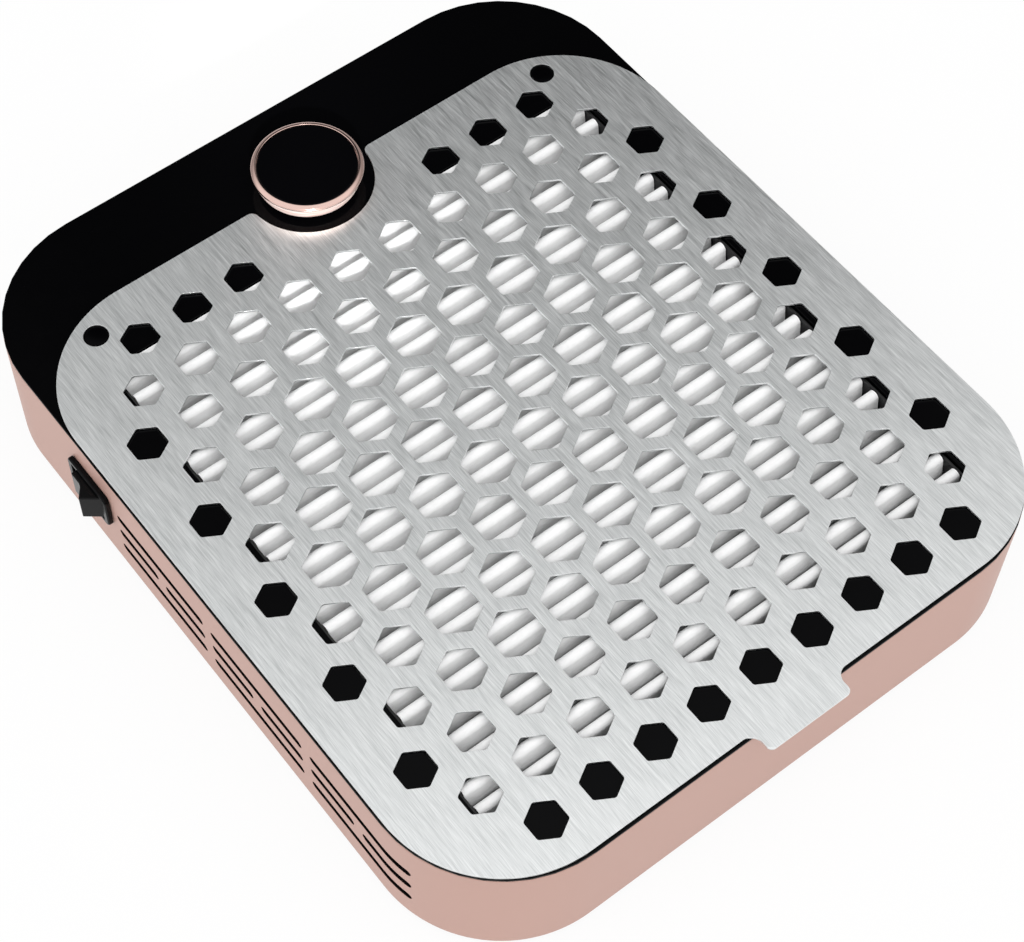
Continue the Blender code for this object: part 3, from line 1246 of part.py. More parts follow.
def make_board_parts():
    low = board_top + SEAT_GAP
    capacitor = bmesh.new()
    edge = CAPACITOR_RADIUS / 8
    turned(capacitor, (
        (0, low), (CAPACITOR_RADIUS, low), (CAPACITOR_RADIUS, low + CAPACITOR_HEIGHT - edge),
        (CAPACITOR_RADIUS - edge, low + CAPACITOR_HEIGHT), (0, low + CAPACITOR_HEIGHT)), SMALL_ROUND_STEPS)
    left = BOARD_SIDE_PLACE - BOARD_LENGTH / 4
    right = BOARD_SIDE_PLACE + BOARD_LENGTH / 4
    piece("board_capacitor", capacitor, capacitor_sleeve, (left, board_place + BOARD_WIDTH / 4, 0))
    terminals = bmesh.new()
    size = Vector(TERMINAL_BLOCK_SIZE) / 2
    block(terminals, (-size.x, -size.y, low), (size.x, size.y, low + 2 * size.z))
    piece("board_terminal_block", terminals, terminal_plastic, (right, board_place - BOARD_WIDTH / 4, 0))
    sink = bmesh.new()
    size = Vector(HEAT_SINK_SIZE) / 2
    comb = [(-size.x, low), (size.x, low)]
    fins = int(size.x / HEAT_SINK_FIN)
    pitch = (2 * size.x - HEAT_SINK_FIN) / max(fins - 1, 1)
    floor = low + 2 * HEAT_SINK_FIN
    top = low + 2 * size.z
    for fin in range(fins):
        right_edge = size.x - fin * pitch
        comb += [(right_edge, top), (right_edge - HEAT_SINK_FIN, top)]
        if fin < fins - 1:
            comb += [(right_edge - HEAT_SINK_FIN, floor), (right_edge - pitch, floor)]
    skin(sink, [[(x, y, level) for x, level in comb] for y in (-size.y, size.y)])
    piece("board_heat_sink", sink, bare_aluminium, (BOARD_SIDE_PLACE, board_place + BOARD_WIDTH / 8, 0))


# Leads

def make_lead(name, material, knots):
    """A thin sheathed lead along a smooth curve through its knots."""
    knots = [Vector(knot) for knot in knots]
    spans = len(knots) - 1
    points = []
    for step in range(LEAD_POINTS + 1):
        at = step * spans / LEAD_POINTS
        span = min(int(at), spans - 1)
        part = at - span
        start, end = knots[span], knots[span + 1]
        before = knots[span - 1] if span > 0 else start
        after = knots[span + 2] if span < spans - 1 else end
        leave = (end - before) / 2
        arrive = (after - start) / 2
        points.append(
            start * (2 * part ** 3 - 3 * part ** 2 + 1) + leave * (part ** 3 - 2 * part ** 2 + part)
            + end * (3 * part ** 2 - 2 * part ** 3) + arrive * (part ** 3 - part ** 2))
    curve = bpy.data.curves.new(name, "CURVE")
    curve.dimensions = "3D"
    curve.bevel_depth = LEAD_RADIUS
    curve.bevel_resolution = 2
    curve.use_fill_caps = True
    spline = curve.splines.new("POLY")
    spline.points.add(len(points) - 1)
    for point, place in zip(spline.points, points):
        point.co = (*place, 1)
    curve.materials.append(material)
    lead = bpy.data.objects.new(name, curve)
    bpy.context.collection.objects.link(lead)
    lead.parent = case_centre


def make_leads():
    board_left = BOARD_SIDE_PLACE - BOARD_LENGTH / 2 - SEAT_GAP
    board_right = BOARD_SIDE_PLACE + BOARD_LENGTH / 2 + SEAT_GAP
    board_front = board_place - BOARD_WIDTH / 2 - SEAT_GAP
    board_middle = (board_bottom + board_top) / 2
    floor = base_top + LEAD_FLOOR_GAP + LEAD_RADIUS
    reach = LEAD_STRAIGHT
    blade_end = SWITCH_DEPTH + TERMINAL_LENGTH + SEAT_GAP - half_width
    for name, end, drop in (("front", -1, 1), ("back", 1, 2)):
        start = (blade_end, switch_place + end * TERMINAL_SPACING / 2, switch_level)
        finish_y = board_place + end * BOARD_WIDTH / 4
        make_lead(f"switch_lead_{name}", red_sheath if end > 0 else black_sheath, (
            start, (start[0] + reach, start[1], start[2]),
            (start[0] + 3 * reach, start[1] + 2 * reach, floor + drop * reach),
            (board_left - 3 * reach, finish_y, floor + drop * LEAD_RADIUS),
            (board_left - reach, finish_y, board_middle), (board_left, finish_y, board_middle)))
    fan_back = opening_middle + FAN_SIZE / 2 + 2 * SEAT_GAP
    fan_level = (fan_bottom + fan_top) / 2
    make_lead("fan_lead", black_sheath, (
        (BOARD_SIDE_PLACE, fan_back, fan_level), (BOARD_SIDE_PLACE, fan_back + reach, fan_level),
        (BOARD_SIDE_PLACE, (fan_back + board_front) / 2, floor),
        (BOARD_SIDE_PLACE, board_front - reach, board_middle),
        (BOARD_SIDE_PLACE, board_front, board_middle)))
    inlet_end = half_length - INLET_DEPTH - SEAT_GAP
    make_lead("inlet_lead", red_sheath, (
        (inlet_place, inlet_end, inlet_level), (inlet_place, inlet_end - reach, inlet_level),
        (inlet_place, board_place, (inlet_level + board_middle) / 2),
        (board_right + reach, board_place - reach, board_middle),
        (board_right, board_place - reach, board_middle)))
    pot_bottom = pot_levels()[0] - SEAT_GAP
    pot_x = BOARD_SIDE_PLACE - BOARD_LENGTH / 2 + 2 * CAPACITOR_RADIUS - POT_RADIUS / 2
    screw_y = board_place - BOARD_WIDTH / 2 + BOARD_SCREW_INSET
    lead_y = screw_y + BOARD_SCREW_HEAD_RADIUS + LEAD_RADIUS + SEAT_GAP
    make_lead("speed_lead", black_sheath, (
        (POT_RADIUS / 2, knob_place, pot_bottom), (POT_RADIUS / 2, knob_place, pot_bottom - reach),
        (pot_x, lead_y, board_top + 2 * reach), (pot_x, lead_y, board_top + SEAT_GAP)))


# Build

for old in list(bpy.data.objects):
    bpy.data.objects.remove(old, do_unlink=True)

case_centre = bpy.data.objects.new("case_centre", None)
bpy.context.collection.objects.link(case_centre)
case_centre.location = case_offset

SWITCH_FACING = (pi / 2, 0, -pi / 2)
INLET_FACING = (-pi / 2, 0, 0)

rose_paint = finish("rose_paint", "D8B3A6", 0.42, 0.25)
rose_polish = finish("rose_polish", "E2B5A6", 0.12, 1.0)
deck_gloss = finish("deck_gloss", "0A0A0B", 0.12)
disc_gloss = finish("disc_gloss", "060607", 0.08)
brushed_steel = finish("brushed_steel", "C4C8C8", 0.32, 1.0)
black_plastic = finish("black_plastic", "0F0F10", 0.45)
switch_plastic = finish("switch_plastic", "131314", 0.40)
rocker_plastic = finish("rocker_plastic", "1A1A1B", 0.35)
well_plastic = finish("well_plastic", "161617", 0.50)
base_plastic = finish("base_plastic", "1B1B1C", 0.50)
fan_plastic = finish("fan_plastic", "141415", 0.40)
filter_paper = finish("filter_paper", "F2F2EF", 0.90)
foot_rubber = finish("foot_rubber", "202021", 0.85)
plated_steel = finish("plated_steel", "B9BABB", 0.30, 1.0)
bearing_steel = finish("bearing_steel", "C9CACC", 0.18, 1.0)
screw_steel = finish("screw_steel", "8D8F92", 0.35, 1.0)
magnet_steel = finish("magnet_steel", "AEB0B2", 0.25, 1.0)
copper_windings = finish("copper_windings", "B4693C", 0.35, 1.0)
board_laminate = finish("board_laminate", "1F5A35", 0.45)
capacitor_sleeve = finish("capacitor_sleeve", "1C2A4A", 0.40)
terminal_plastic = finish("terminal_plastic", "2B6FA8", 0.45)
bare_aluminium = finish("bare_aluminium", "C5C7CA", 0.38, 1.0)
red_sheath = finish("red_sheath", "A32020", 0.50)
black_sheath = finish("black_sheath", "17171A", 0.50)

make_side_wall()
make_top_deck()
make_locating_studs()
make_magnets()
make_grille_plate()
make_filter_well()
make_filter_frame()
make_filter_media()
make_fan_frame()
make_bearings()
make_fan_stator()
make_fan_impeller()
make_fan_shaft()
make_rotor_ring()
make_fan_screws()
make_knob_body()
make_knob_disc()
make_potentiometer()
make_switch_body()
make_switch_terminals()
make_switch_rocker()
make_power_inlet()
make_base_cover()
make_case_screws()
make_feet()
make_control_board()
make_board_parts()
make_board_screws()
make_leads()
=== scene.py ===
import math

import bmesh
import bpy
from mathutils import Matrix, Vector


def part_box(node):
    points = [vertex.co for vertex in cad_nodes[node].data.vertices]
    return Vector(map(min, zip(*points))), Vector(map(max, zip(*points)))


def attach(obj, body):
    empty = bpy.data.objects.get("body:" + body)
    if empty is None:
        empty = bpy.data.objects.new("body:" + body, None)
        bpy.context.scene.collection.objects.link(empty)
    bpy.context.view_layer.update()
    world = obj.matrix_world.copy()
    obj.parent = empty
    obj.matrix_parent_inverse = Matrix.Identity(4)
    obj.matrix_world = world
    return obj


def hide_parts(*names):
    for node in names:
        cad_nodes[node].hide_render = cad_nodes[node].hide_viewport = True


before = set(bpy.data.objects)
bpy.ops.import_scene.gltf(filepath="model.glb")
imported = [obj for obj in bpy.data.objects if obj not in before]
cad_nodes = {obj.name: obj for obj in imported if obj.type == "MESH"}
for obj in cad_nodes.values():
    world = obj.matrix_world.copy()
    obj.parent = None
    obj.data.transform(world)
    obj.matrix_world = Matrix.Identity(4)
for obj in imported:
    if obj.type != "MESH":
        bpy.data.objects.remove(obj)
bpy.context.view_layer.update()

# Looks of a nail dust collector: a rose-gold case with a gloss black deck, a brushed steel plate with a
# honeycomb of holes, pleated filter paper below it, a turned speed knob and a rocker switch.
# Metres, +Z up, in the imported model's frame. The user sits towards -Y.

MM = 0.001
HALF_TURN = math.pi
FULL_TURN = 2 * math.pi
SMOOTH_ANGLE = math.radians(32)

# Where the case stands, from its wall
wall_low, wall_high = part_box("side_wall")
CASE_X = (wall_low.x + wall_high.x) / 2
CASE_Y = (wall_low.y + wall_high.y) / 2
HALF_WIDTH = (wall_high.x - wall_low.x) / 2
HALF_LENGTH = (wall_high.y - wall_low.y) / 2
CASE_CORNER = 42.6 * MM
WALL = 2.5 * MM
CORNER_SEGMENTS = 32


# Camera, set to the photograph's viewing angle

IMAGE_WIDTH = 1024
IMAGE_HEIGHT = 942
FOCAL_PIXELS = 2397.3
CENTRE_PIXEL = (447.3, 444.6)
EYE = (CASE_X - 259.77 * MM, CASE_Y - 318.10 * MM, 659.75 * MM)
VIEW_TURN = (2.4569, -0.8282, 0.2369)

camera_data = bpy.data.cameras.new("photo_camera")
camera = bpy.data.objects.new("photo_camera", camera_data)
bpy.context.collection.objects.link(camera)
bpy.context.scene.camera = camera
camera_data.sensor_width = 36
camera_data.lens = FOCAL_PIXELS / IMAGE_WIDTH * camera_data.sensor_width
camera_data.shift_x = (IMAGE_WIDTH / 2 - CENTRE_PIXEL[0]) / IMAGE_WIDTH
camera_data.shift_y = (CENTRE_PIXEL[1] - IMAGE_HEIGHT / 2) / IMAGE_WIDTH
camera_data.clip_start = 0.01
camera_data.clip_end = 50
turn_vector = Vector(VIEW_TURN)
to_image = Matrix.Rotation(turn_vector.length, 3, turn_vector.normalized())
right, down, forward = (Vector(row) for row in to_image)
camera.matrix_world = Matrix.Translation(EYE) @ Matrix((right, -down, -forward)).transposed().to_4x4()


# Nodes and materials

def linear(code):
    """A colour of six sRGB hex digits, as linear values with an alpha of one."""
    channels = [int(code[at:at + 2], 16) / 255 for at in (0, 2, 4)]
    return (*[((c + 0.055) / 1.055) ** 2.4 if c > 0.04045 else c / 12.92 for c in channels], 1.0)


def add_node(tree, kind, inputs=None, **settings):
    """A node with its settings, whose inputs take values or the sockets that they are linked to."""
    node = tree.nodes.new(kind)
    for name, value in settings.items():
        setattr(node, name, value)
    for name, value in (inputs or {}).items():
        if isinstance(value, bpy.types.NodeSocket):
            tree.links.new(value, node.inputs[name])
        else:
            node.inputs[name].default_value = value
    return node


def new_material(name, colour, roughness, metallic=0.0, **sockets):
    """A material with its Principled shader; the sockets are named with spaces as underscores."""
    material = bpy.data.materials.new(name)
    material.use_nodes = True
    shader = material.node_tree.nodes["Principled BSDF"]
    shader.inputs["Base Color"].default_value = linear(colour)
    shader.inputs["Roughness"].default_value = roughness
    shader.inputs["Metallic"].default_value = metallic
    for socket, value in sockets.items():
        shader.inputs[socket.replace("_", " ")].default_value = value
    material.diffuse_color = linear(colour)
    return material


def grain(material, size, depth, colours=None, roughness=None, stretch=(1, 1, 1), detail=3.0):
    """A surface grain of a real size: its relief, and how its colour and roughness vary.

    size is the width of a grain, depth its relief, and stretch makes it longer along an axis.
    """
    tree = material.node_tree
    shader = tree.nodes["Principled BSDF"]
    place = add_node(tree, "ShaderNodeTexCoord")
    scale = [1 / (size * along) for along in stretch]
    mapped = add_node(tree, "ShaderNodeMapping", {"Vector": place.outputs["Object"], "Scale": scale})
    noise = add_node(
        tree, "ShaderNodeTexNoise", {"Vector": mapped.outputs["Vector"], "Scale": 1.0, "Detail": detail})
    if colours:
        spread = add_node(tree, "ShaderNodeMapRange", {
            "Value": noise.outputs["Fac"], "From Min": 0.3, "From Max": 0.7})
        tint = add_node(tree, "ShaderNodeMix", {
            0: spread.outputs["Result"], 6: linear(colours[0]), 7: linear(colours[1])}, data_type="RGBA")
        tree.links.new(tint.outputs[2], shader.inputs["Base Color"])
    if roughness:
        gloss = add_node(tree, "ShaderNodeMapRange", {
            "Value": noise.outputs["Fac"], "From Min": 0.3, "From Max": 0.7,
            "To Min": roughness[0], "To Max": roughness[1]})
        tree.links.new(gloss.outputs["Result"], shader.inputs["Roughness"])
    if depth:
        relief = add_node(tree, "ShaderNodeBump", {
            "Height": noise.outputs["Fac"], "Distance": depth, "Strength": 1.0})
        tree.links.new(relief.outputs["Normal"], shader.inputs["Normal"])
    return material


def paint_fold_shade(material):
    """Darken filter paper by its depth, down to a grey at the foot of its folds: painted shade in the fold
    valleys.
    """
    tree = material.node_tree
    shader = tree.nodes["Principled BSDF"]
    low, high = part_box("filter_media")
    place = add_node(tree, "ShaderNodeTexCoord")
    level = add_node(tree, "ShaderNodeSeparateXYZ", {"Vector": place.outputs["Object"]})
    share = add_node(tree, "ShaderNodeMapRange", {
        "Value": level.outputs["Z"], "From Min": high.z - FOLD_SHADE_FULL, "From Max": high.z - FOLD_SHADE_START},
        interpolation_type="SMOOTHSTEP")
    unshaded = shader.inputs["Base Color"].links[0].from_socket
    # The grey of the painted shade at the foot of the folds
    mixed = add_node(tree, "ShaderNodeMix", {
        0: share.outputs["Result"], 6: linear("303030"), 7: unshaded}, data_type="RGBA")
    tree.links.new(mixed.outputs[2], shader.inputs["Base Color"])
    return material


def brushed_steel():
    """Stainless sheet brushed front to back: fine bright and dark scratches that stretch lights sideways.

    Real scratches are about 0.05 mm wide; they are drawn 0.2 to 1.1 mm wide, so that they show from the
    camera.
    """
    material = new_material("brushed_stainless_sheet", "E2E4E4", 0.34, 1.0, Anisotropic=0.7)
    tree = material.node_tree
    shader = tree.nodes["Principled BSDF"]
    place = add_node(tree, "ShaderNodeTexCoord")
    scratches = []
    for width, length, slant in (
            (0.22 * MM, 6 * MM, 0.05), (0.3 * MM, 10 * MM, -0.04), (1.1 * MM, 40 * MM, 0)):
        turned = add_node(tree, "ShaderNodeMapping", {
            "Vector": place.outputs["Object"], "Rotation": (0, 0, slant)})
        mapped = add_node(tree, "ShaderNodeMapping", {
            "Vector": turned.outputs["Vector"], "Scale": (1 / width, 1 / length, 1 / width)})
        noise = add_node(tree, "ShaderNodeTexNoise", {
            "Vector": mapped.outputs["Vector"], "Scale": 1.0, "Detail": 2.0})
        scratches.append(noise.outputs["Fac"])
    fine = add_node(tree, "ShaderNodeMix", {0: 0.5, 2: scratches[0], 3: scratches[1]})
    both = add_node(tree, "ShaderNodeMix", {0: 0.2, 2: fine.outputs[0], 3: scratches[2]})
    spread = add_node(tree, "ShaderNodeMapRange", {
        "Value": both.outputs[0], "From Min": 0.34, "From Max": 0.64})
    tint = add_node(tree, "ShaderNodeMix", {
        0: spread.outputs["Result"], 6: linear("CDD0D0"), 7: linear("F6F8F8")}, data_type="RGBA")
    gloss = add_node(tree, "ShaderNodeMapRange", {
        "Value": spread.outputs["Result"], "To Min": 0.28, "To Max": 0.40})
    relief = add_node(tree, "ShaderNodeBump", {
        "Height": both.outputs[0], "Distance": 0.003 * MM, "Strength": 1.0})
    across = add_node(tree, "ShaderNodeTangent", direction_type="UV_MAP", uv_map="across_grain")
    for source, socket in (
            (tint.outputs[2], "Base Color"), (gloss.outputs["Result"], "Roughness"),
            (relief.outputs["Normal"], "Normal"), (across.outputs["Tangent"], "Tangent")):
        tree.links.new(source, shader.inputs[socket])
    return material


# Depths below the paper's top where the painted fold shade begins and where it is full
FOLD_SHADE_START = 6.6 * MM
FOLD_SHADE_FULL = 9.4 * MM

# Anodised aluminium wall, bead blasted first: a fine satin sparkle, near even in colour
rose_anodised = grain(
    new_material("rose_anodised_aluminium", "BE998D", 0.46, 0.25), 0.25 * MM, 0.005 * MM,
    ("BC968A", "C09C90"), (0.42, 0.50))
# Inside of the wall and of its slots: dead matt black, painted shade so that the slots look empty
painted_slot_shade = grain(
    new_material("painted_shade_black", "040404", 0.9, Specular_IOR_Level=0.1), 0.5 * MM, 0.02 * MM,
    ("030303", "060606"), (0.85, 0.95))
# Turned and polished aluminium, rose anodised: a clear mirror with faint lathe lines
rose_polished = grain(
    new_material("rose_polished_aluminium", "CCAFA6", 0.12, 1.0), 0.3 * MM, 0.0, None, (0.08, 0.16))
# The knob's skirt: silky, with rose streaks round it, and paler than the rim, partly as a turned finish and
# partly as a painted highlight
rose_turned_and_highlight = grain(
    new_material("rose_turned_aluminium_and_painted_highlight", "FAEAE2", 0.38, 0.2), 2.4 * MM, 0.0,
    ("E8BCB0", "FFF8F2"), (0.32, 0.46), (3, 3, 0.12))
# Injection-moulded gloss black ABS: deep black with a clear reflection
gloss_black_abs = grain(
    new_material("gloss_black_abs", "040405", 0.10, IOR=1.46, Specular_IOR_Level=0.06), 6 * MM, 0.0, None,
    (0.07, 0.13))
# Black lacquered disc, polished
gloss_black_lacquer = grain(
    new_material("gloss_black_lacquer", "030304", 0.06, IOR=1.46, Specular_IOR_Level=0.15), 8 * MM, 0.0, None,
    (0.05, 0.08))
brushed_stainless = brushed_steel()
# Cellulose filter paper: white, matt, with a soft fibre mottling, and painted shade that darkens it towards
# the foot of its folds
filter_paper = paint_fold_shade(grain(
    new_material("white_filter_paper", "F6F6F6", 0.92), 0.7 * MM, 0.03 * MM,
    ("F2F2F2", "F9F9F9"), None, (2.5, 1, 1)))
# Moulded black ABS with the fine spark-eroded texture of inner parts
textured_black_abs = grain(
    new_material("textured_black_abs", "101011", 0.5), 0.4 * MM, 0.02 * MM,
    ("0D0D0E", "141415"), (0.42, 0.58))
# Glass-filled nylon of the switch and the inlet: black, polished by the mould
black_nylon = grain(
    new_material("black_nylon", "040405", 0.22, Specular_IOR_Level=0.08), 0.3 * MM, 0.004 * MM,
    ("030304", "060607"), (0.18, 0.26))
# Moulded acetal of the studs: jet black and smooth
black_acetal = grain(
    new_material("black_acetal", "030304", 0.15, Specular_IOR_Level=0.03), 2 * MM, 0.0, None, (0.12, 0.18))
# Rocker key in glossy polycarbonate
black_polycarbonate = grain(
    new_material("black_polycarbonate", "050506", 0.18, Specular_IOR_Level=0.12), 0.3 * MM, 0.003 * MM,
    ("040405", "070708"), (0.15, 0.22))
# Polyester of the fan: dark, with flow marks
fan_polyester = grain(
    new_material("fan_black_polyester", "121213", 0.42), 1.5 * MM, 0.01 * MM,
    ("0F0F10", "161617"), (0.36, 0.48))
# Feet of moulded rubber: matt, greyed
moulded_rubber = grain(
    new_material("moulded_rubber", "1E1E1F", 0.82), 0.5 * MM, 0.03 * MM, ("19191A", "242425"), (0.76, 0.9))
# Zinc-plated screws: bluish, with handling marks
zinc_steel = grain(
    new_material("zinc_plated_steel", "A9ADB2", 0.34, 1.0), 0.6 * MM, 0.004 * MM,
    ("999DA2", "B8BCC0"), (0.26, 0.44))
# Nickel-plated contacts and cans: warmer and brighter than zinc
nickel_plate = grain(
    new_material("nickel_plate", "C4C1B8", 0.26, 1.0), 0.8 * MM, 0.002 * MM,
    ("BAB7AE", "CDCAC2"), (0.2, 0.34))
# Ground steel shafts and bearings
ground_steel = grain(
    new_material("ground_steel", "C9CBCD", 0.2, 1.0), 0.2 * MM, 0.001 * MM, ("C0C2C4", "D1D3D5"),
    (0.15, 0.26), (1, 1, 8))
# Enamelled copper windings, as rows of fine wire
copper_wire = grain(
    new_material("enamelled_copper", "B0602F", 0.32, 1.0), 0.4 * MM, 0.05 * MM,
    ("9C5228", "C4743E"), (0.26, 0.4), (6, 6, 1))
# Epoxy glass laminate with a green solder mask
solder_mask = grain(
    new_material("green_solder_mask", "17502C", 0.34), 1.2 * MM, 0.01 * MM, ("134626", "1C5C34"),
    (0.28, 0.4))
# Shrink sleeve of the capacitor
blue_sleeve = grain(
    new_material("blue_shrink_sleeve", "1B2A4C", 0.36), 2 * MM, 0.005 * MM, ("182545", "203055"),
    (0.3, 0.42))
# Terminal block in blue nylon
blue_nylon = grain(
    new_material("blue_nylon", "2468A0", 0.42), 0.6 * MM, 0.01 * MM, ("205F93", "2971AC"), (0.36, 0.48))
# Extruded aluminium heat sink, drawn lengthwise
drawn_aluminium = grain(
    new_material("drawn_aluminium", "C3C5C8", 0.36, 1.0), 0.3 * MM, 0.006 * MM, ("B8BABD", "CDCFD2"),
    (0.3, 0.44), (1, 10, 1))
# Silicone sheaths of the leads
red_silicone = grain(
    new_material("red_silicone", "9C1F1D", 0.5), 0.5 * MM, 0.004 * MM, ("921B19", "A82421"), (0.44, 0.56))
black_silicone = grain(
    new_material("black_silicone", "151517", 0.5), 0.5 * MM, 0.004 * MM, ("111113", "1A1A1C"),
    (0.44, 0.56))

NODE_FINISHES = {
    gloss_black_abs: ["top_deck"],
    textured_black_abs: ["filter_well", "filter_frame", "base_cover"],
    fan_polyester: ["fan_frame", "fan_impeller"],
    zinc_steel: ["fan_screw", "case_screw", "board_screw", "potentiometer_nut", "power_inlet_nut"],
    nickel_plate: [
        "plate_magnet", "speed_potentiometer", "switch_terminal", "power_inlet_pin", "fan_rotor_ring"],
    ground_steel: ["fan_bearing", "fan_shaft", "potentiometer_shaft"],
    copper_wire: ["fan_stator"],
    solder_mask: ["control_board"],
    blue_sleeve: ["board_capacitor"],
    blue_nylon: ["board_terminal_block"],
    drawn_aluminium: ["board_heat_sink"],
    red_silicone: ["inlet_lead", "switch_lead_back"],
    black_silicone: ["fan_lead", "speed_lead", "switch_lead_front"],
    rose_anodised: ["side_wall"],
    rose_polished: ["knob_body"],
    gloss_black_lacquer: ["knob_disc"],
    brushed_stainless: ["grille_plate"],
    filter_paper: ["filter_media"],
    black_nylon: ["switch_body", "power_inlet"],
    black_acetal: ["locating_stud"],
    black_polycarbonate: ["switch_rocker"],
    moulded_rubber: ["foot"],
}
ROUNDED_NODES = ["top_deck", "filter_frame", "base_cover", "fan_frame"]
for finish, beginnings in NODE_FINISHES.items():
    for name, node in cad_nodes.items():
        if any(name.startswith(beginning) for beginning in beginnings):
            node.data.materials.clear()
            node.data.materials.append(finish)


# Modelling helpers

def at(x, y, z=0.0):
    """A place counted from the middle of the case, in the model's frame."""
    return Vector((CASE_X + x, CASE_Y + y, z))


def rounded_rectangle(bm, half_x, half_y, corner, level, segments=CORNER_SEGMENTS, middle=(0.0, 0.0)):
    """A flat face with round corners, about a place counted from the middle of the case."""
    made = bmesh.ops.create_grid(bm, x_segments=1, y_segments=1, size=1)["verts"]
    bmesh.ops.scale(bm, verts=made, vec=(half_x, half_y, 1))
    bmesh.ops.translate(bm, verts=made, vec=at(middle[0], middle[1], level))
    rounded = bmesh.ops.bevel(
        bm, geom=made, offset=corner, offset_type="OFFSET", segments=segments, profile=0.5,
        affect="VERTICES", material=-1, clamp_overlap=False)
    return max(rounded["faces"] or bm.faces, key=lambda face: face.calc_area())


def raise_faces(bm, faces, height):
    """Extrude faces upwards into a closed block."""
    made = bmesh.ops.extrude_face_region(bm, geom=faces, use_keep_orig=True)
    moved = [item for item in made["geom"] if isinstance(item, bmesh.types.BMVert)]
    bmesh.ops.translate(bm, verts=moved, vec=(0, 0, height))
    bmesh.ops.recalc_face_normals(bm, faces=bm.faces)


def soften(bm, edges, width, segments=2):
    """Round off edges."""
    bmesh.ops.bevel(
        bm, geom=list(edges), offset=width, offset_type="OFFSET", segments=segments, profile=0.5,
        affect="EDGES", material=-1, clamp_overlap=True)


def sharp_edges(bm, angle=math.radians(50), where=None):
    """Edges whose faces meet at more than an angle."""
    return [edge for edge in bm.edges if len(edge.link_faces) == 2 and edge.calc_face_angle() > angle
            and (where is None or where(edge))]


def lathe(bm, profile, centre, steps=96):
    """Turn a profile of radius and level about an upright axis, from the axis round to the axis."""
    verts = [bm.verts.new((centre.x + radius, centre.y, level)) for radius, level in profile]
    chain = [bm.edges.new(pair) for pair in zip(verts, verts[1:])]
    if profile[0][0] > 0:
        chain.append(bm.edges.new((verts[-1], verts[0])))
    bmesh.ops.spin(
        bm, geom=verts + chain, axis=(0, 0, 1), cent=centre, angle=FULL_TURN, steps=steps, use_merge=True)
    bmesh.ops.remove_doubles(bm, verts=bm.verts, dist=0.002 * MM)
    bmesh.ops.recalc_face_normals(bm, faces=bm.faces)


def new_piece(name, bm, material, body, replaced=()):
    """A finished piece that rides on a body and may stand for nodes of the frame."""
    mesh = bpy.data.meshes.new(name)
    bm.to_mesh(mesh)
    bm.free()
    mesh.materials.append(material)
    mesh.shade_smooth()
    mesh.set_sharp_from_angle(angle=SMOOTH_ANGLE)
    thing = bpy.data.objects.new(name, mesh)
    bpy.context.collection.objects.link(thing)
    even = thing.modifiers.new("flat_faces", "WEIGHTED_NORMAL")
    even.keep_sharp = True
    even.weight = 90
    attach(thing, body)
    if replaced:
        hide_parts(*replaced)
    return thing


def combined(bm, tool, operation="DIFFERENCE"):
    """Cut one closed shape from another, or join them, and give back the result."""
    parts = []
    for shape in (bm, tool):
        mesh = bpy.data.meshes.new("boolean_work")
        shape.to_mesh(mesh)
        shape.free()
        thing = bpy.data.objects.new("boolean_work", mesh)
        bpy.context.collection.objects.link(thing)
        parts.append(thing)
    step = parts[0].modifiers.new("step", "BOOLEAN")
    step.operation = operation
    step.solver = "EXACT"
    step.object = parts[1]
    bpy.context.view_layer.update()
    evaluated = parts[0].evaluated_get(bpy.context.evaluated_depsgraph_get())
    result = bmesh.new()
    result.from_mesh(evaluated.to_mesh())
    evaluated.to_mesh_clear()
    for thing in parts:
        mesh = thing.data
        bpy.data.objects.remove(thing)
        bpy.data.meshes.remove(mesh)
    bmesh.ops.remove_doubles(result, verts=result.verts, dist=0.001 * MM)
    bmesh.ops.delete(result, geom=[edge for edge in result.edges if not edge.link_faces], context="EDGES")
    return result


# Case wall with its vent slots

PLATE_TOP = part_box("grille_plate")[1].z
SLOT_LENGTH = 46.6 * MM
SLOT_HEIGHT = 3.4 * MM
SLOT_SPACING = 4.1 * MM
SLOT_WRAP = 11.7 * MM
SLOT_ROWS = [PLATE_TOP - drop * MM for drop in (18.3, 26.7, 35.1)]
SLOT_GROUPS = 3
LIP_RINGS = [(0.10 * MM, 0.16 * MM), (-0.03 * MM, 0.07 * MM), (-0.08 * MM, 0.025 * MM), (-0.14 * MM, 0.0),
             (-WALL - MM, 0.0)]
SLOT_BEND_STEPS = 8
PAINTED_SHADE_DEPTH = 0.08 * MM
SWITCH_Y = 56.9 * MM
SWITCH_Z = PLATE_TOP - 19.8 * MM
SWITCH_HOLE_LENGTH = 19.4 * MM
SWITCH_HOLE_HEIGHT = 13.2 * MM
INLET_HOLE_RADIUS = 5.8 * MM


def along_wall(side, along, outward, level):
    """A place by its distance back from the front corner's start, and out from the wall's outer face."""
    centre = Vector((CASE_CORNER - HALF_WIDTH, CASE_CORNER - HALF_LENGTH))
    angle = max(-along, 0) / CASE_CORNER
    reach = CASE_CORNER + outward
    x = centre.x - reach * math.cos(angle)
    y = centre.y - reach * math.sin(angle) + max(along, 0)
    return at(-side * x, y, level)


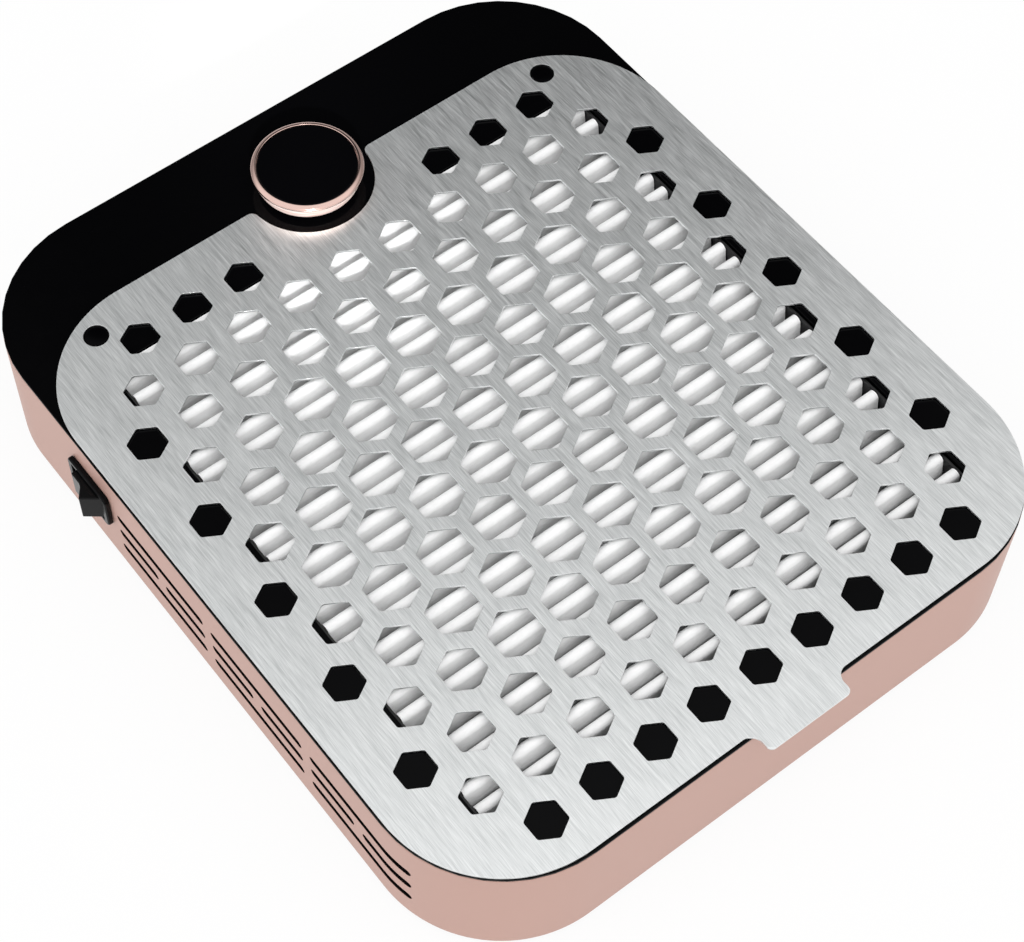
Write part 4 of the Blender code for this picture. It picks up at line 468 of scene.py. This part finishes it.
def slot_shape(bm, side, start, end, level):
    """A round-ended slot with a rounded lip, modelled flat, then bent along the wall and its front corner."""
    length = end - start
    half = SLOT_HEIGHT / 2
    made = bmesh.ops.create_grid(bm, x_segments=1, y_segments=1, size=1)["verts"]
    bmesh.ops.scale(bm, verts=made, vec=(length / 2, SLOT_HEIGHT / 2, 1))
    bmesh.ops.translate(bm, verts=made, vec=(start + length / 2, level, 0))
    before = set(bm.verts) - set(made)
    bmesh.ops.bevel(
        bm, geom=made, offset=0.4999 * SLOT_HEIGHT, offset_type="OFFSET", segments=6, profile=0.5,
        affect="VERTICES", material=-1, clamp_overlap=False)
    flat = [vert for vert in bm.verts if vert not in before]
    faces = list({face for vert in flat for face in vert.link_faces})
    edges = list({edge for vert in flat for edge in vert.link_edges})
    for step in range(SLOT_BEND_STEPS):
        cut_at = -SLOT_WRAP * step / SLOT_BEND_STEPS
        if start + SLOT_HEIGHT < cut_at < end:
            bmesh.ops.bisect_plane(
                bm, geom=flat + edges + faces, plane_co=(cut_at, 0, 0), plane_no=(1, 0, 0))
            flat = [vert for vert in bm.verts if vert not in before]
            faces = list({face for vert in flat for face in vert.link_faces})
            edges = list({edge for vert in flat for edge in vert.link_edges})
    rings = [flat]
    for number in range(1, len(LIP_RINGS)):
        deeper = bmesh.ops.extrude_face_region(bm, geom=faces, use_keep_orig=True)["geom"]
        if number > 1:
            bmesh.ops.delete(bm, geom=faces, context="FACES")
        faces = [item for item in deeper if isinstance(item, bmesh.types.BMFace)]
        rings.append([item for item in deeper if isinstance(item, bmesh.types.BMVert)])
    for ring, (outward, growth) in zip(rings, LIP_RINGS):
        spread = 1 + growth / half
        for vert in ring:
            middle = min(max(vert.co.x, start + half), end - half)
            vert.co = along_wall(
                side, middle + (vert.co.x - middle) * spread, outward, level + (vert.co.y - level) * spread)


def make_wall():
    bm = bmesh.new()
    rounded_rectangle(bm, HALF_WIDTH, HALF_LENGTH, CASE_CORNER, wall_low.z)
    raise_faces(bm, bm.faces[:], wall_high.z - wall_low.z)
    inside = bmesh.new()
    rounded_rectangle(inside, HALF_WIDTH - WALL, HALF_LENGTH - WALL, CASE_CORNER - WALL, wall_low.z - MM)
    raise_faces(inside, inside.faces[:], wall_high.z - wall_low.z + 2 * MM)
    bm = combined(bm, inside)
    outer_rims = sharp_edges(bm, where=lambda edge: abs(
        edge.verts[0].co.z - edge.verts[1].co.z) < 0.01 * MM and wall_depth(edge.verts[0].co) < WALL / 2)
    soften(bm, outer_rims, 0.4 * MM)
    slots = bmesh.new()
    half_slot = (SLOT_LENGTH - SLOT_SPACING) / 2
    for side in (-1, 1):
        for row, level in enumerate(SLOT_ROWS):
            for group in range(SLOT_GROUPS):
                start = group * (SLOT_LENGTH + SLOT_SPACING) - SLOT_WRAP
                end = start + SLOT_LENGTH
                if row % 2:
                    slot_shape(slots, side, start, start + half_slot, level)
                    slot_shape(slots, side, end - half_slot, end, level)
                else:
                    slot_shape(slots, side, start, end, level)
    made = bmesh.ops.create_cube(slots, size=1)["verts"]
    bmesh.ops.scale(slots, verts=made, vec=(2 * WALL + 2 * MM, SWITCH_HOLE_LENGTH, SWITCH_HOLE_HEIGHT))
    bmesh.ops.translate(slots, verts=made, vec=at(-HALF_WIDTH, SWITCH_Y, SWITCH_Z))
    inlet_low, inlet_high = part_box("power_inlet")
    bmesh.ops.create_cone(
        slots, cap_ends=True, segments=32, radius1=INLET_HOLE_RADIUS, radius2=INLET_HOLE_RADIUS,
        depth=4 * WALL,
        matrix=Matrix.Translation(
            ((inlet_low.x + inlet_high.x) / 2, CASE_Y + HALF_LENGTH, (inlet_low.z + inlet_high.z) / 2))
        @ Matrix.Rotation(HALF_TURN / 2, 4, "X"))
    bmesh.ops.recalc_face_normals(slots, faces=slots.faces)
    # Seams through the middle of every opening, so that no face has a hole inside its border
    for level in (*SLOT_ROWS, SWITCH_Z, (inlet_low.z + inlet_high.z) / 2):
        bmesh.ops.bisect_plane(
            bm, geom=bm.verts[:] + bm.edges[:] + bm.faces[:], plane_co=(0, 0, level), plane_no=(0, 0, 1))
    bm = combined(bm, slots)
    # Faces set back from the outer face, in the slots and on the wall's inside, take the painted shade black
    for face in bm.faces:
        middle = face.calc_center_median()
        if wall_depth(middle) > PAINTED_SHADE_DEPTH and wall_low.z + MM < middle.z < wall_high.z - MM:
            face.material_index = 1
    wall = new_piece("case_wall", bm, rose_anodised, "case", ["side_wall"])
    wall.data.materials.append(painted_slot_shade)


def wall_depth(place):
    """How deep a place is in the wall, from its outer face."""
    past_x = max(abs(place.x - CASE_X) - HALF_WIDTH + CASE_CORNER, 0)
    past_y = max(abs(place.y - CASE_Y) - HALF_LENGTH + CASE_CORNER, 0)
    return CASE_CORNER - math.hypot(past_x, past_y)


# Perforated plate

PLATE_THICKNESS = 0.8 * MM
PLATE_SIDE_INSET = 0.5 * MM
PLATE_FRONT = -HALF_LENGTH + 0.8 * MM
PLATE_BACK = HALF_LENGTH - 33.4 * MM
PLATE_FRONT_CORNER = 41.0 * MM
PLATE_BACK_CORNER = 40.0 * MM
HOLE_PITCH = 19.55 * MM
HOLE_FRONT_INSET = 14.47 * MM
HOLE_BACK_INSET = 18.0 * MM
HOLE_SIDE_INSET = 14.0 * MM
HOLE_WEB = 3.0 * MM
HOLE_SIZES = [size * MM for size in (11.3, 12.3, 13.2, 15.2)]
HOLE_ROUND = 0.55 * MM
TAB_HALF = 15.45 * MM
TAB_LENGTH = 7.4 * MM
TAB_CORNER = 2.0 * MM
TAB_ROOT = 3.8 * MM
NOTCH_RADIUS = 21.7 * MM
NOTCH_ROUND = 2.5 * MM
STUD_HOLE = 4.1 * MM
STUD_X = HALF_WIDTH - 26.4 * MM
STUD_Y = PLATE_BACK - 10.6 * MM


def arc_from(bm, start, centre, angle, steps):
    """Draw an arc of edges from a vertex about a centre, and give back its last vertex."""
    spun = bmesh.ops.spin(
        bm, geom=[start], axis=(0, 0, 1), cent=at(*centre), angle=angle, steps=steps)
    return [item for item in spun["geom_last"] if isinstance(item, bmesh.types.BMVert)][0]


def line_to(bm, start, x, y):
    """Draw a straight edge from a vertex to a place."""
    end = bm.verts.new(at(x, y))
    bm.edges.new((start, end))
    return end


def plate_border(bm):
    """The plate's border, counter-clockwise from the right end of its front edge."""
    half_x = HALF_WIDTH - PLATE_SIDE_INSET
    quarter = HALF_TURN / 2
    slope = math.asin(NOTCH_ROUND / (NOTCH_RADIUS + NOTCH_ROUND))
    mouth_x = (NOTCH_RADIUS + NOTCH_ROUND) * math.cos(slope)
    first = bm.verts.new(at(TAB_HALF + TAB_ROOT, PLATE_FRONT))
    here = line_to(bm, first, half_x - PLATE_FRONT_CORNER, PLATE_FRONT)
    here = arc_from(bm, here, (half_x - PLATE_FRONT_CORNER, PLATE_FRONT + PLATE_FRONT_CORNER), quarter,
                    CORNER_SEGMENTS)
    here = line_to(bm, here, half_x, PLATE_BACK - PLATE_BACK_CORNER)
    here = arc_from(bm, here, (half_x - PLATE_BACK_CORNER, PLATE_BACK - PLATE_BACK_CORNER), quarter,
                    CORNER_SEGMENTS)
    here = line_to(bm, here, mouth_x, PLATE_BACK)
    here = arc_from(bm, here, (mouth_x, PLATE_BACK - NOTCH_ROUND), quarter - slope, 6)
    here = arc_from(bm, here, (0, PLATE_BACK), 2 * slope - HALF_TURN, 48)
    here = arc_from(bm, here, (-mouth_x, PLATE_BACK - NOTCH_ROUND), quarter - slope, 6)
    here = line_to(bm, here, PLATE_BACK_CORNER - half_x, PLATE_BACK)
    here = arc_from(bm, here, (PLATE_BACK_CORNER - half_x, PLATE_BACK - PLATE_BACK_CORNER), quarter,
                    CORNER_SEGMENTS)
    here = line_to(bm, here, -half_x, PLATE_FRONT + PLATE_FRONT_CORNER)
    here = arc_from(bm, here, (PLATE_FRONT_CORNER - half_x, PLATE_FRONT + PLATE_FRONT_CORNER), quarter,
                    CORNER_SEGMENTS)
    here = line_to(bm, here, -TAB_HALF - TAB_ROOT, PLATE_FRONT)
    here = arc_from(bm, here, (-TAB_HALF - TAB_ROOT, PLATE_FRONT - TAB_ROOT), -quarter, 8)
    here = line_to(bm, here, -TAB_HALF, PLATE_FRONT - TAB_LENGTH + TAB_CORNER)
    here = arc_from(bm, here, (TAB_CORNER - TAB_HALF, PLATE_FRONT - TAB_LENGTH + TAB_CORNER), quarter, 6)
    here = line_to(bm, here, TAB_HALF - TAB_CORNER, PLATE_FRONT - TAB_LENGTH)
    here = arc_from(bm, here, (TAB_HALF - TAB_CORNER, PLATE_FRONT - TAB_LENGTH + TAB_CORNER), quarter, 6)
    here = line_to(bm, here, TAB_HALF, PLATE_FRONT - TAB_ROOT)
    arc_from(bm, here, (TAB_HALF + TAB_ROOT, PLATE_FRONT - TAB_ROOT), -quarter, 8)
    bmesh.ops.remove_doubles(bm, verts=bm.verts, dist=0.02 * MM)


def clear_place(x, y, reach):
    """Whether a hole of this reach keeps a web of metal to the border, the notch and the stud holes."""
    room = reach + HOLE_WEB
    half_x = HALF_WIDTH - PLATE_SIDE_INSET
    corner = PLATE_BACK_CORNER if y > 0 else PLATE_FRONT_CORNER
    past_x = max(abs(x) - (half_x - corner), 0)
    past_y = max(y - (PLATE_BACK - corner) if y > 0 else PLATE_FRONT + corner - y, 0)
    stud = math.hypot(abs(x) - STUD_X, y - STUD_Y)
    return (math.hypot(past_x, past_y) + room <= corner
            and math.hypot(x, y - PLATE_BACK) - room >= NOTCH_RADIUS and stud - room >= STUD_HOLE)


def hole_places():
    """Centre and width of each hexagonal hole, which grow from the plate's edge inwards."""
    row_pitch = HOLE_PITCH * math.sin(HALF_TURN / 3)
    columns = int((HALF_WIDTH - PLATE_SIDE_INSET - HOLE_SIDE_INSET) / HOLE_PITCH)
    last_row = int((PLATE_BACK - PLATE_FRONT - HOLE_FRONT_INSET - HOLE_BACK_INSET) / row_pitch)
    for row in range(last_row + 1):
        y = PLATE_FRONT + HOLE_FRONT_INSET + row * row_pitch
        for column in range(-columns, columns + 1 - row % 2):
            place = column + (row % 2) / 2
            from_side = 2 * (columns - abs(place))
            from_end = min(row, last_row - row)
            grade = int(min((from_side + from_end) / 2 - 1, from_end, len(HOLE_SIZES) - 1))
            size = HOLE_SIZES[max(grade, 0)] if from_side > 0 else HOLE_SIZES[0]
            if clear_place(place * HOLE_PITCH, y, size / math.sqrt(3)):
                yield place * HOLE_PITCH, y, size


def make_plate():
    bm = bmesh.new()
    plate_border(bm)
    for x, y, size in hole_places():
        hole = bmesh.ops.create_circle(
            bm, segments=6, radius=size / math.sqrt(3), matrix=Matrix.Translation(at(x, y)))["verts"]
        bmesh.ops.bevel(
            bm, geom=hole, offset=HOLE_ROUND, offset_type="OFFSET", segments=3, profile=0.5,
            affect="VERTICES", material=-1)
    for side in (-1, 1):
        bmesh.ops.create_circle(
            bm, segments=40, radius=STUD_HOLE, matrix=Matrix.Translation(at(side * STUD_X, STUD_Y)))
    bmesh.ops.triangle_fill(bm, edges=bm.edges[:], use_beauty=True, use_dissolve=False)
    bmesh.ops.translate(bm, verts=bm.verts, vec=(0, 0, PLATE_TOP - PLATE_THICKNESS))
    raise_faces(bm, bm.faces[:], PLATE_THICKNESS)
    soften(bm, sharp_edges(bm), 0.2 * MM, 3)
    grain_map = bm.loops.layers.uv.new("across_grain")
    for face in bm.faces:
        for loop in face.loops:
            loop[grain_map].uv = (loop.vert.co.x, loop.vert.co.y)
    return new_piece("perforated_plate", bm, brushed_stainless, "grille", ["grille_plate"])


# Pleated filter paper

CREST_RADIUS = 1.9 * MM
VALLEY_RADIUS = 0.5 * MM
PAPER = 0.4 * MM
PLEAT_PITCH = 7.16 * MM
PAPER_SPANS = 40
PAPER_WAVE = 0.06 * MM


def make_paper():
    low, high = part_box("filter_media")
    length = high.y - low.y
    count = int(length / PLEAT_PITCH)
    pitch = length / count
    crest_level = high.z - CREST_RADIUS
    valley_level = low.z + PAPER + VALLEY_RADIUS
    lean = 0.0
    for _ in range(40):
        reach = pitch / 2 - (CREST_RADIUS + VALLEY_RADIUS) * math.cos(lean)
        drop = crest_level - valley_level + (CREST_RADIUS + VALLEY_RADIUS) * math.sin(lean)
        lean = math.atan2(reach, drop)
    turn = HALF_TURN / 2 - lean
    bm = bmesh.new()
    start = bm.verts.new((low.x, low.y, low.z + PAPER))
    half_valley = bmesh.ops.spin(
        bm, geom=[start], axis=(1, 0, 0), cent=(low.x, low.y, valley_level), angle=turn, steps=3)
    foot = [item for item in half_valley["geom_last"] if isinstance(item, bmesh.types.BMVert)][0]
    middle = low.y + pitch / 2
    shoulder = bm.verts.new((
        low.x, middle - CREST_RADIUS * math.sin(turn), crest_level + CREST_RADIUS * math.cos(turn)))
    bm.edges.new((foot, shoulder))
    bmesh.ops.spin(
        bm, geom=[shoulder], axis=(1, 0, 0), cent=(low.x, middle, crest_level), angle=-turn, steps=7)
    half_fold = bm.verts[:] + bm.edges[:]
    mirrored = bmesh.ops.duplicate(bm, geom=half_fold)["geom"]
    other = [item for item in mirrored if isinstance(item, bmesh.types.BMVert)]
    bmesh.ops.scale(bm, verts=other, vec=(1, -1, 1), space=Matrix.Translation((0, -middle, 0)))
    fold = bm.verts[:] + bm.edges[:]
    for number in range(1, count):
        copied = bmesh.ops.duplicate(bm, geom=fold)["geom"]
        moved = [item for item in copied if isinstance(item, bmesh.types.BMVert)]
        bmesh.ops.translate(bm, verts=moved, vec=(0, number * pitch, 0))
    bmesh.ops.remove_doubles(bm, verts=bm.verts, dist=0.01 * MM)
    width = high.x - low.x
    edges = bm.edges[:]
    for _ in range(PAPER_SPANS):
        swept = bmesh.ops.extrude_edge_only(bm, edges=edges)
        edges = [item for item in swept["geom"] if isinstance(item, bmesh.types.BMEdge)]
        verts = [item for item in swept["geom"] if isinstance(item, bmesh.types.BMVert)]
        bmesh.ops.translate(bm, verts=verts, vec=(width / PAPER_SPANS, 0, 0))
    for vert in bm.verts:
        share = max(0.0, (vert.co.z - valley_level) / (high.z - valley_level))
        wave = math.sin(vert.co.x * 95 + vert.co.y * 41) + math.sin(vert.co.x * 37 - vert.co.y * 67)
        vert.co.z -= PAPER_WAVE * share * (2 + wave)
    bmesh.ops.recalc_face_normals(bm, faces=bm.faces)
    if sum(face.normal.z for face in bm.faces) < 0:
        bmesh.ops.reverse_faces(bm, faces=bm.faces)
    bmesh.ops.solidify(bm, geom=bm.faces[:], thickness=PAPER)
    new_piece("pleated_paper", bm, filter_paper, "filter", ["filter_media"])
    frame_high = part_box("filter_frame")[1]
    bm = bmesh.new()
    rounded_box(
        bm, Vector((low.x, high.y + 0.2 * MM, frame_high.z + 0.02 * MM)),
        Vector((high.x, frame_high.y, frame_high.z + 0.5 * MM)), 0.2 * MM, 0)
    new_piece("paper_end_fold", bm, filter_paper, "filter")


# Knob

KNOB_TAPER = 2.0 * MM
KNOB_SIDE_HEIGHT = 6.6 * MM
KNOB_EDGE = 0.35 * MM
NECK_RADIUS = 5.8 * MM
SHAFT_BORE_RADIUS = 3.3 * MM


def make_knob():
    low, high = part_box("knob_body")
    disc_low, disc_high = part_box("knob_disc")
    centre = Vector(((low.x + high.x) / 2, (low.y + high.y) / 2, 0))
    radius = (high.x - low.x) / 2
    foot = radius - KNOB_TAPER
    bottom = high.z - KNOB_SIDE_HEIGHT
    disc_radius = (disc_high.x - disc_low.x) / 2
    seat = disc_low.z - 0.3 * MM
    rim = disc_radius + 0.3 * MM
    bm = bmesh.new()
    lathe(bm, (
        (0, seat), (rim, seat), (rim, high.z - 0.15 * MM), (rim + 0.15 * MM, high.z),
        (rim + 0.5 * MM, high.z - 0.03 * MM), (rim + 0.9 * MM, high.z - 0.15 * MM),
        (radius - 0.55 * MM, high.z - 0.35 * MM), (radius - 0.25 * MM, high.z - 0.6 * MM),
        (radius - 0.07 * MM, high.z - 0.9 * MM), (radius, high.z - 1.3 * MM),
        (foot + 0.3 * MM, bottom + 0.6 * MM), (foot, bottom + KNOB_EDGE),
        (foot - KNOB_EDGE, bottom), (foot - 2.0 * MM, bottom), (foot - 2.0 * MM, seat - MM),
        (NECK_RADIUS, seat - MM), (NECK_RADIUS, low.z), (SHAFT_BORE_RADIUS, low.z),
        (SHAFT_BORE_RADIUS, seat - MM), (0, seat - MM)), centre, 128)
    # Downward faces of the skirt take the paler material, partly a turned finish and partly a painted
    # highlight
    for face in bm.faces:
        middle = face.calc_center_median()
        if face.normal.z < -0.1 and (middle - centre).xy.length > foot:
            face.material_index = 1
    ring = new_piece("knob_ring", bm, rose_polished, "knob", ["knob_body"])
    ring.data.materials.append(rose_turned_and_highlight)
    bm = bmesh.new()
    lathe(bm, (
        (0, disc_low.z), (disc_radius, disc_low.z), (disc_radius, disc_high.z - 0.2 * MM),
        (disc_radius - 0.06 * MM, disc_high.z - 0.06 * MM), (disc_radius - 0.2 * MM, disc_high.z),
        (0, disc_high.z)), centre, 128)
    new_piece("knob_face", bm, gloss_black_lacquer, "knob", ["knob_disc"])


# Rocker switch

BEZEL_REACH = 2.0 * MM
BEZEL_CORNER = 2.0 * MM
HOUSING_INSET = 1.2 * MM
CAVITY_HALF = 8.3 * MM
ROCKER_PLAY = 0.3 * MM
ROCKER_TILT = math.radians(19)
ROCKER_WING = 5.2 * MM
ROCKER_VALLEY = 2.0 * MM
ROCKER_END = 7.0 * MM
ROCKER_WIDTH = 10.8 * MM
PIVOT_REACH = 1.8 * MM


def rounded_box(bm, low, high, corner, axis, segments=6):
    """A block between two corners whose edges along one axis are rounded."""
    made = bmesh.ops.create_cube(bm, size=1)["verts"]
    bmesh.ops.scale(bm, verts=made, vec=high - low)
    bmesh.ops.translate(bm, verts=made, vec=(low + high) / 2)
    edges = {edge for vert in made for edge in vert.link_edges}
    straight = [edge for edge in edges
                if abs((edge.verts[0].co - edge.verts[1].co)[axis]) > (high - low)[axis] / 2]
    soften(bm, straight, corner, segments)


def make_switch():
    low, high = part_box("switch_body")
    outer = low.x
    bm = bmesh.new()
    rounded_box(bm, Vector((outer, low.y, low.z)), Vector((outer + BEZEL_REACH - 0.3 * MM, high.y, high.z)),
                BEZEL_CORNER, 0)
    face = [edge for edge in sharp_edges(bm) if all(vert.co.x < outer + 0.01 * MM for vert in edge.verts)]
    soften(bm, face, 0.6 * MM, 4)
    housing = bmesh.new()
    rounded_box(housing, Vector((outer + MM, low.y + HOUSING_INSET, low.z + HOUSING_INSET)),
                Vector((high.x, high.y - HOUSING_INSET, high.z - HOUSING_INSET)), 0.8 * MM, 0)
    bm = combined(bm, housing, "UNION")
    cavity = bmesh.new()
    width = ROCKER_WIDTH / 2 + ROCKER_PLAY
    middle = Vector((0, (low.y + high.y) / 2, (low.z + high.z) / 2))
    rounded_box(
        cavity, Vector((outer - MM, middle.y - CAVITY_HALF, middle.z - width)),
        Vector((high.x - 3 * MM, middle.y + CAVITY_HALF, middle.z + width)), 0.5 * MM, 0)
    bm = combined(bm, cavity)
    mouth = [edge for edge in sharp_edges(bm) if all(
        vert.co.x < outer + 0.01 * MM and abs(vert.co.y - middle.y) < CAVITY_HALF + 0.1 * MM
        for vert in edge.verts)]
    soften(bm, mouth, 0.3 * MM, 3)
    new_piece("switch_housing", bm, black_nylon, "case", ["switch_body"])


def make_rocker():
    pivot = at(-HALF_WIDTH - PIVOT_REACH, SWITCH_Y, SWITCH_Z)
    crest = (ROCKER_WING * math.cos(ROCKER_TILT), ROCKER_VALLEY + ROCKER_WING * math.sin(ROCKER_TILT))
    heel = (crest[0] + ROCKER_END * math.sin(ROCKER_TILT), crest[1] - ROCKER_END * math.cos(ROCKER_TILT))
    bm = bmesh.new()
    corners = [(0, ROCKER_VALLEY), (-crest[0], crest[1]), (-heel[0], heel[1]), heel, crest]
    bm.faces.new([bm.verts.new((-out, along, -ROCKER_WIDTH / 2)) for along, out in corners])
    raise_faces(bm, bm.faces[:], ROCKER_WIDTH)
    valley = [edge for edge in bm.edges if all(abs(vert.co.y) < 0.01 * MM for vert in edge.verts)]
    soften(bm, valley, 1.2 * MM, 6)
    soften(bm, sharp_edges(bm, math.radians(40)), 0.4 * MM, 4)
    bmesh.ops.rotate(bm, verts=bm.verts, cent=(0, 0, 0), matrix=Matrix.Rotation(-ROCKER_TILT, 3, "Z"))
    bmesh.ops.translate(bm, verts=bm.verts, vec=pivot)
    new_piece("rocker_key", bm, black_polycarbonate, "rocker", ["switch_rocker"])


# Feet, studs and the power inlet

def make_small_parts():
    for name in cad_nodes:
        if not name.startswith(("foot_", "locating_stud_")):
            continue
        low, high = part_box(name)
        centre = Vector(((low.x + high.x) / 2, (low.y + high.y) / 2, 0))
        radius = (high.x - low.x) / 2
        bm = bmesh.new()
        if name.startswith("foot_"):
            lathe(bm, (
                (0, 0.3 * MM), (radius - 2.4 * MM, 0.3 * MM), (radius - 2.0 * MM, 0), (radius - 1.0 * MM, 0),
                (radius - 0.4 * MM, 0.15 * MM), (radius, 0.7 * MM), (radius, high.z), (0, high.z)),
                centre, 64)
            new_piece(f"rubber_{name}", bm, moulded_rubber, "case", [name])
        else:
            shank = 1.8 * MM
            head = high.z - 1.5 * MM
            lathe(bm, (
                (0, low.z), (shank, low.z), (shank, head), (radius, head), (radius, high.z - 0.5 * MM),
                (radius - 0.12 * MM, high.z - 0.25 * MM), (radius - 0.5 * MM, high.z - 0.05 * MM),
                (0, high.z)), centre, 48)
            new_piece(f"moulded_{name}", bm, black_acetal, "case", [name])


def make_power_inlet():
    low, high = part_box("power_inlet")
    centre = Vector(((low.x + high.x) / 2, 0, (low.z + high.z) / 2))
    wall_face = CASE_Y + HALF_LENGTH
    reach = high.y - wall_face
    bm = bmesh.new()
    lathe(bm, (
        (0, low.y - wall_face), (5.5 * MM, low.y - wall_face), (5.5 * MM, 0.3 * MM), (7 * MM, 0.3 * MM),
        (7 * MM, reach - 0.6 * MM), (6.8 * MM, reach - 0.2 * MM), (6.4 * MM, reach), (3.6 * MM, reach),
        (3.3 * MM, reach - 0.1 * MM), (3.2 * MM, reach - 0.4 * MM), (3.2 * MM, reach - 9.5 * MM),
        (1.3 * MM, reach - 9.5 * MM), (1.3 * MM, reach - 11.5 * MM), (0, reach - 11.5 * MM)),
        Vector((0, 0, 0)), 64)
    bmesh.ops.rotate(bm, verts=bm.verts, cent=(0, 0, 0), matrix=Matrix.Rotation(-HALF_TURN / 2, 3, "X"))
    bmesh.ops.translate(bm, verts=bm.verts, vec=(centre.x, wall_face, centre.z))
    new_piece("inlet_socket", bm, black_nylon, "case", ["power_inlet"])


def round_cad_edges():
    """Give the frame's own moulded pieces the small edge rounds that catch the light."""
    for name in ROUNDED_NODES:
        node = cad_nodes[name]
        weld = node.modifiers.new("weld", "WELD")
        weld.merge_threshold = 0.005 * MM
        bevel = node.modifiers.new("edge_round", "BEVEL")
        bevel.width = 0.15 * MM
        bevel.segments = 2
        bevel.limit_method = "ANGLE"
        bevel.angle_limit = math.radians(50)
        bevel.harden_normals = True


# Studio: a wide softbox over the user's left shoulder, a dark curtain behind the object that keeps its
# gloss parts black, and a narrow lamp on the knob

SOFTBOX_SIDE = (-0.53, -0.54, 0.66)
SOFTBOX_LEVEL = 1.38
SHADE_LEVEL = 0.46
DARK_SIDE = (0.447, 0.594, 0.669)
DARK_SHARE = 0.08
SNOOT_PLACE = (-0.40, -0.66, 0.48)
SNOOT_POWER = 48
SNOOT_CONE = math.radians(5.0)
FLOOR_WHITE_SHARE = 0.9


def make_studio():
    world = bpy.data.worlds.new("studio")
    bpy.context.scene.world = world
    world.use_nodes = True
    tree = world.node_tree
    background = tree.nodes["Background"]
    ray = add_node(tree, "ShaderNodeLightPath")
    place = add_node(tree, "ShaderNodeTexCoord")
    facing = add_node(tree, "ShaderNodeVectorMath", {
        0: place.outputs["Generated"], 1: SOFTBOX_SIDE}, operation="DOT_PRODUCT")
    softbox = add_node(tree, "ShaderNodeMapRange", {
        "Value": facing.outputs["Value"], "From Min": -0.15, "From Max": 0.45,
        "To Min": SHADE_LEVEL, "To Max": SOFTBOX_LEVEL}, interpolation_type="SMOOTHSTEP")
    away = add_node(tree, "ShaderNodeVectorMath", {
        0: place.outputs["Generated"], 1: DARK_SIDE}, operation="DOT_PRODUCT")
    curtain = add_node(tree, "ShaderNodeMapRange", {
        "Value": away.outputs["Value"], "From Min": 0.906, "From Max": 0.974,
        "To Min": 1.0, "To Max": DARK_SHARE}, interpolation_type="SMOOTHSTEP")
    sky = add_node(tree, "ShaderNodeMath", {
        0: softbox.outputs["Result"], 1: curtain.outputs["Result"]}, operation="MULTIPLY")
    shown = add_node(tree, "ShaderNodeMix", {
        0: ray.outputs["Is Camera Ray"], 2: sky.outputs[0], 3: 1.0})
    tree.links.new(shown.outputs[0], background.inputs["Strength"])
    background.inputs["Color"].default_value = (1, 1, 1, 1)

    low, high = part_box("knob_body")
    target = (low + high) / 2
    snoot_data = bpy.data.lights.new("knob_snoot", "SPOT")
    snoot_data.energy = SNOOT_POWER
    snoot_data.spot_size = SNOOT_CONE
    snoot_data.spot_blend = 0.8
    snoot_data.shadow_soft_size = 0.03
    snoot = bpy.data.objects.new("knob_snoot", snoot_data)
    bpy.context.collection.objects.link(snoot)
    snoot.location = target + Vector(SNOOT_PLACE)
    snoot.rotation_euler = (-Vector(SNOOT_PLACE)).to_track_quat("-Z", "Y").to_euler()

    bm = bmesh.new()
    bmesh.ops.create_grid(bm, x_segments=1, y_segments=1, size=6)
    mesh = bpy.data.meshes.new("floor")
    bm.to_mesh(mesh)
    bm.free()
    floor = bpy.data.objects.new("floor", mesh)
    bpy.context.collection.objects.link(floor)
    material = bpy.data.materials.new("pale_floor")
    material.use_nodes = True
    tree = material.node_tree
    tree.nodes.clear()
    ray = add_node(tree, "ShaderNodeLightPath")
    seen = add_node(tree, "ShaderNodeMath", {
        0: ray.outputs["Is Camera Ray"], 1: ray.outputs["Is Glossy Ray"]}, operation="MAXIMUM")
    through = add_node(tree, "ShaderNodeMath", {
        0: seen.outputs[0], 1: ray.outputs["Is Transmission Ray"]}, operation="MAXIMUM")
    share = add_node(
        tree, "ShaderNodeMath", {0: through.outputs[0], 1: FLOOR_WHITE_SHARE}, operation="MULTIPLY")
    matt = add_node(tree, "ShaderNodeBsdfDiffuse", {"Color": linear("F2F2F2")})
    white = add_node(tree, "ShaderNodeEmission", {"Color": (1, 1, 1, 1), "Strength": 1.0})
    mixed = add_node(tree, "ShaderNodeMixShader", {
        0: share.outputs[0], 1: matt.outputs[0], 2: white.outputs[0]})
    add_node(tree, "ShaderNodeOutputMaterial", {"Surface": mixed.outputs[0]})
    mesh.materials.append(material)


make_wall()
make_plate()
make_paper()
make_knob()
make_switch()
make_rocker()
make_small_parts()
make_power_inlet()
round_cad_edges()
make_studio()
bpy.context.scene.view_settings.view_transform = "Standard"
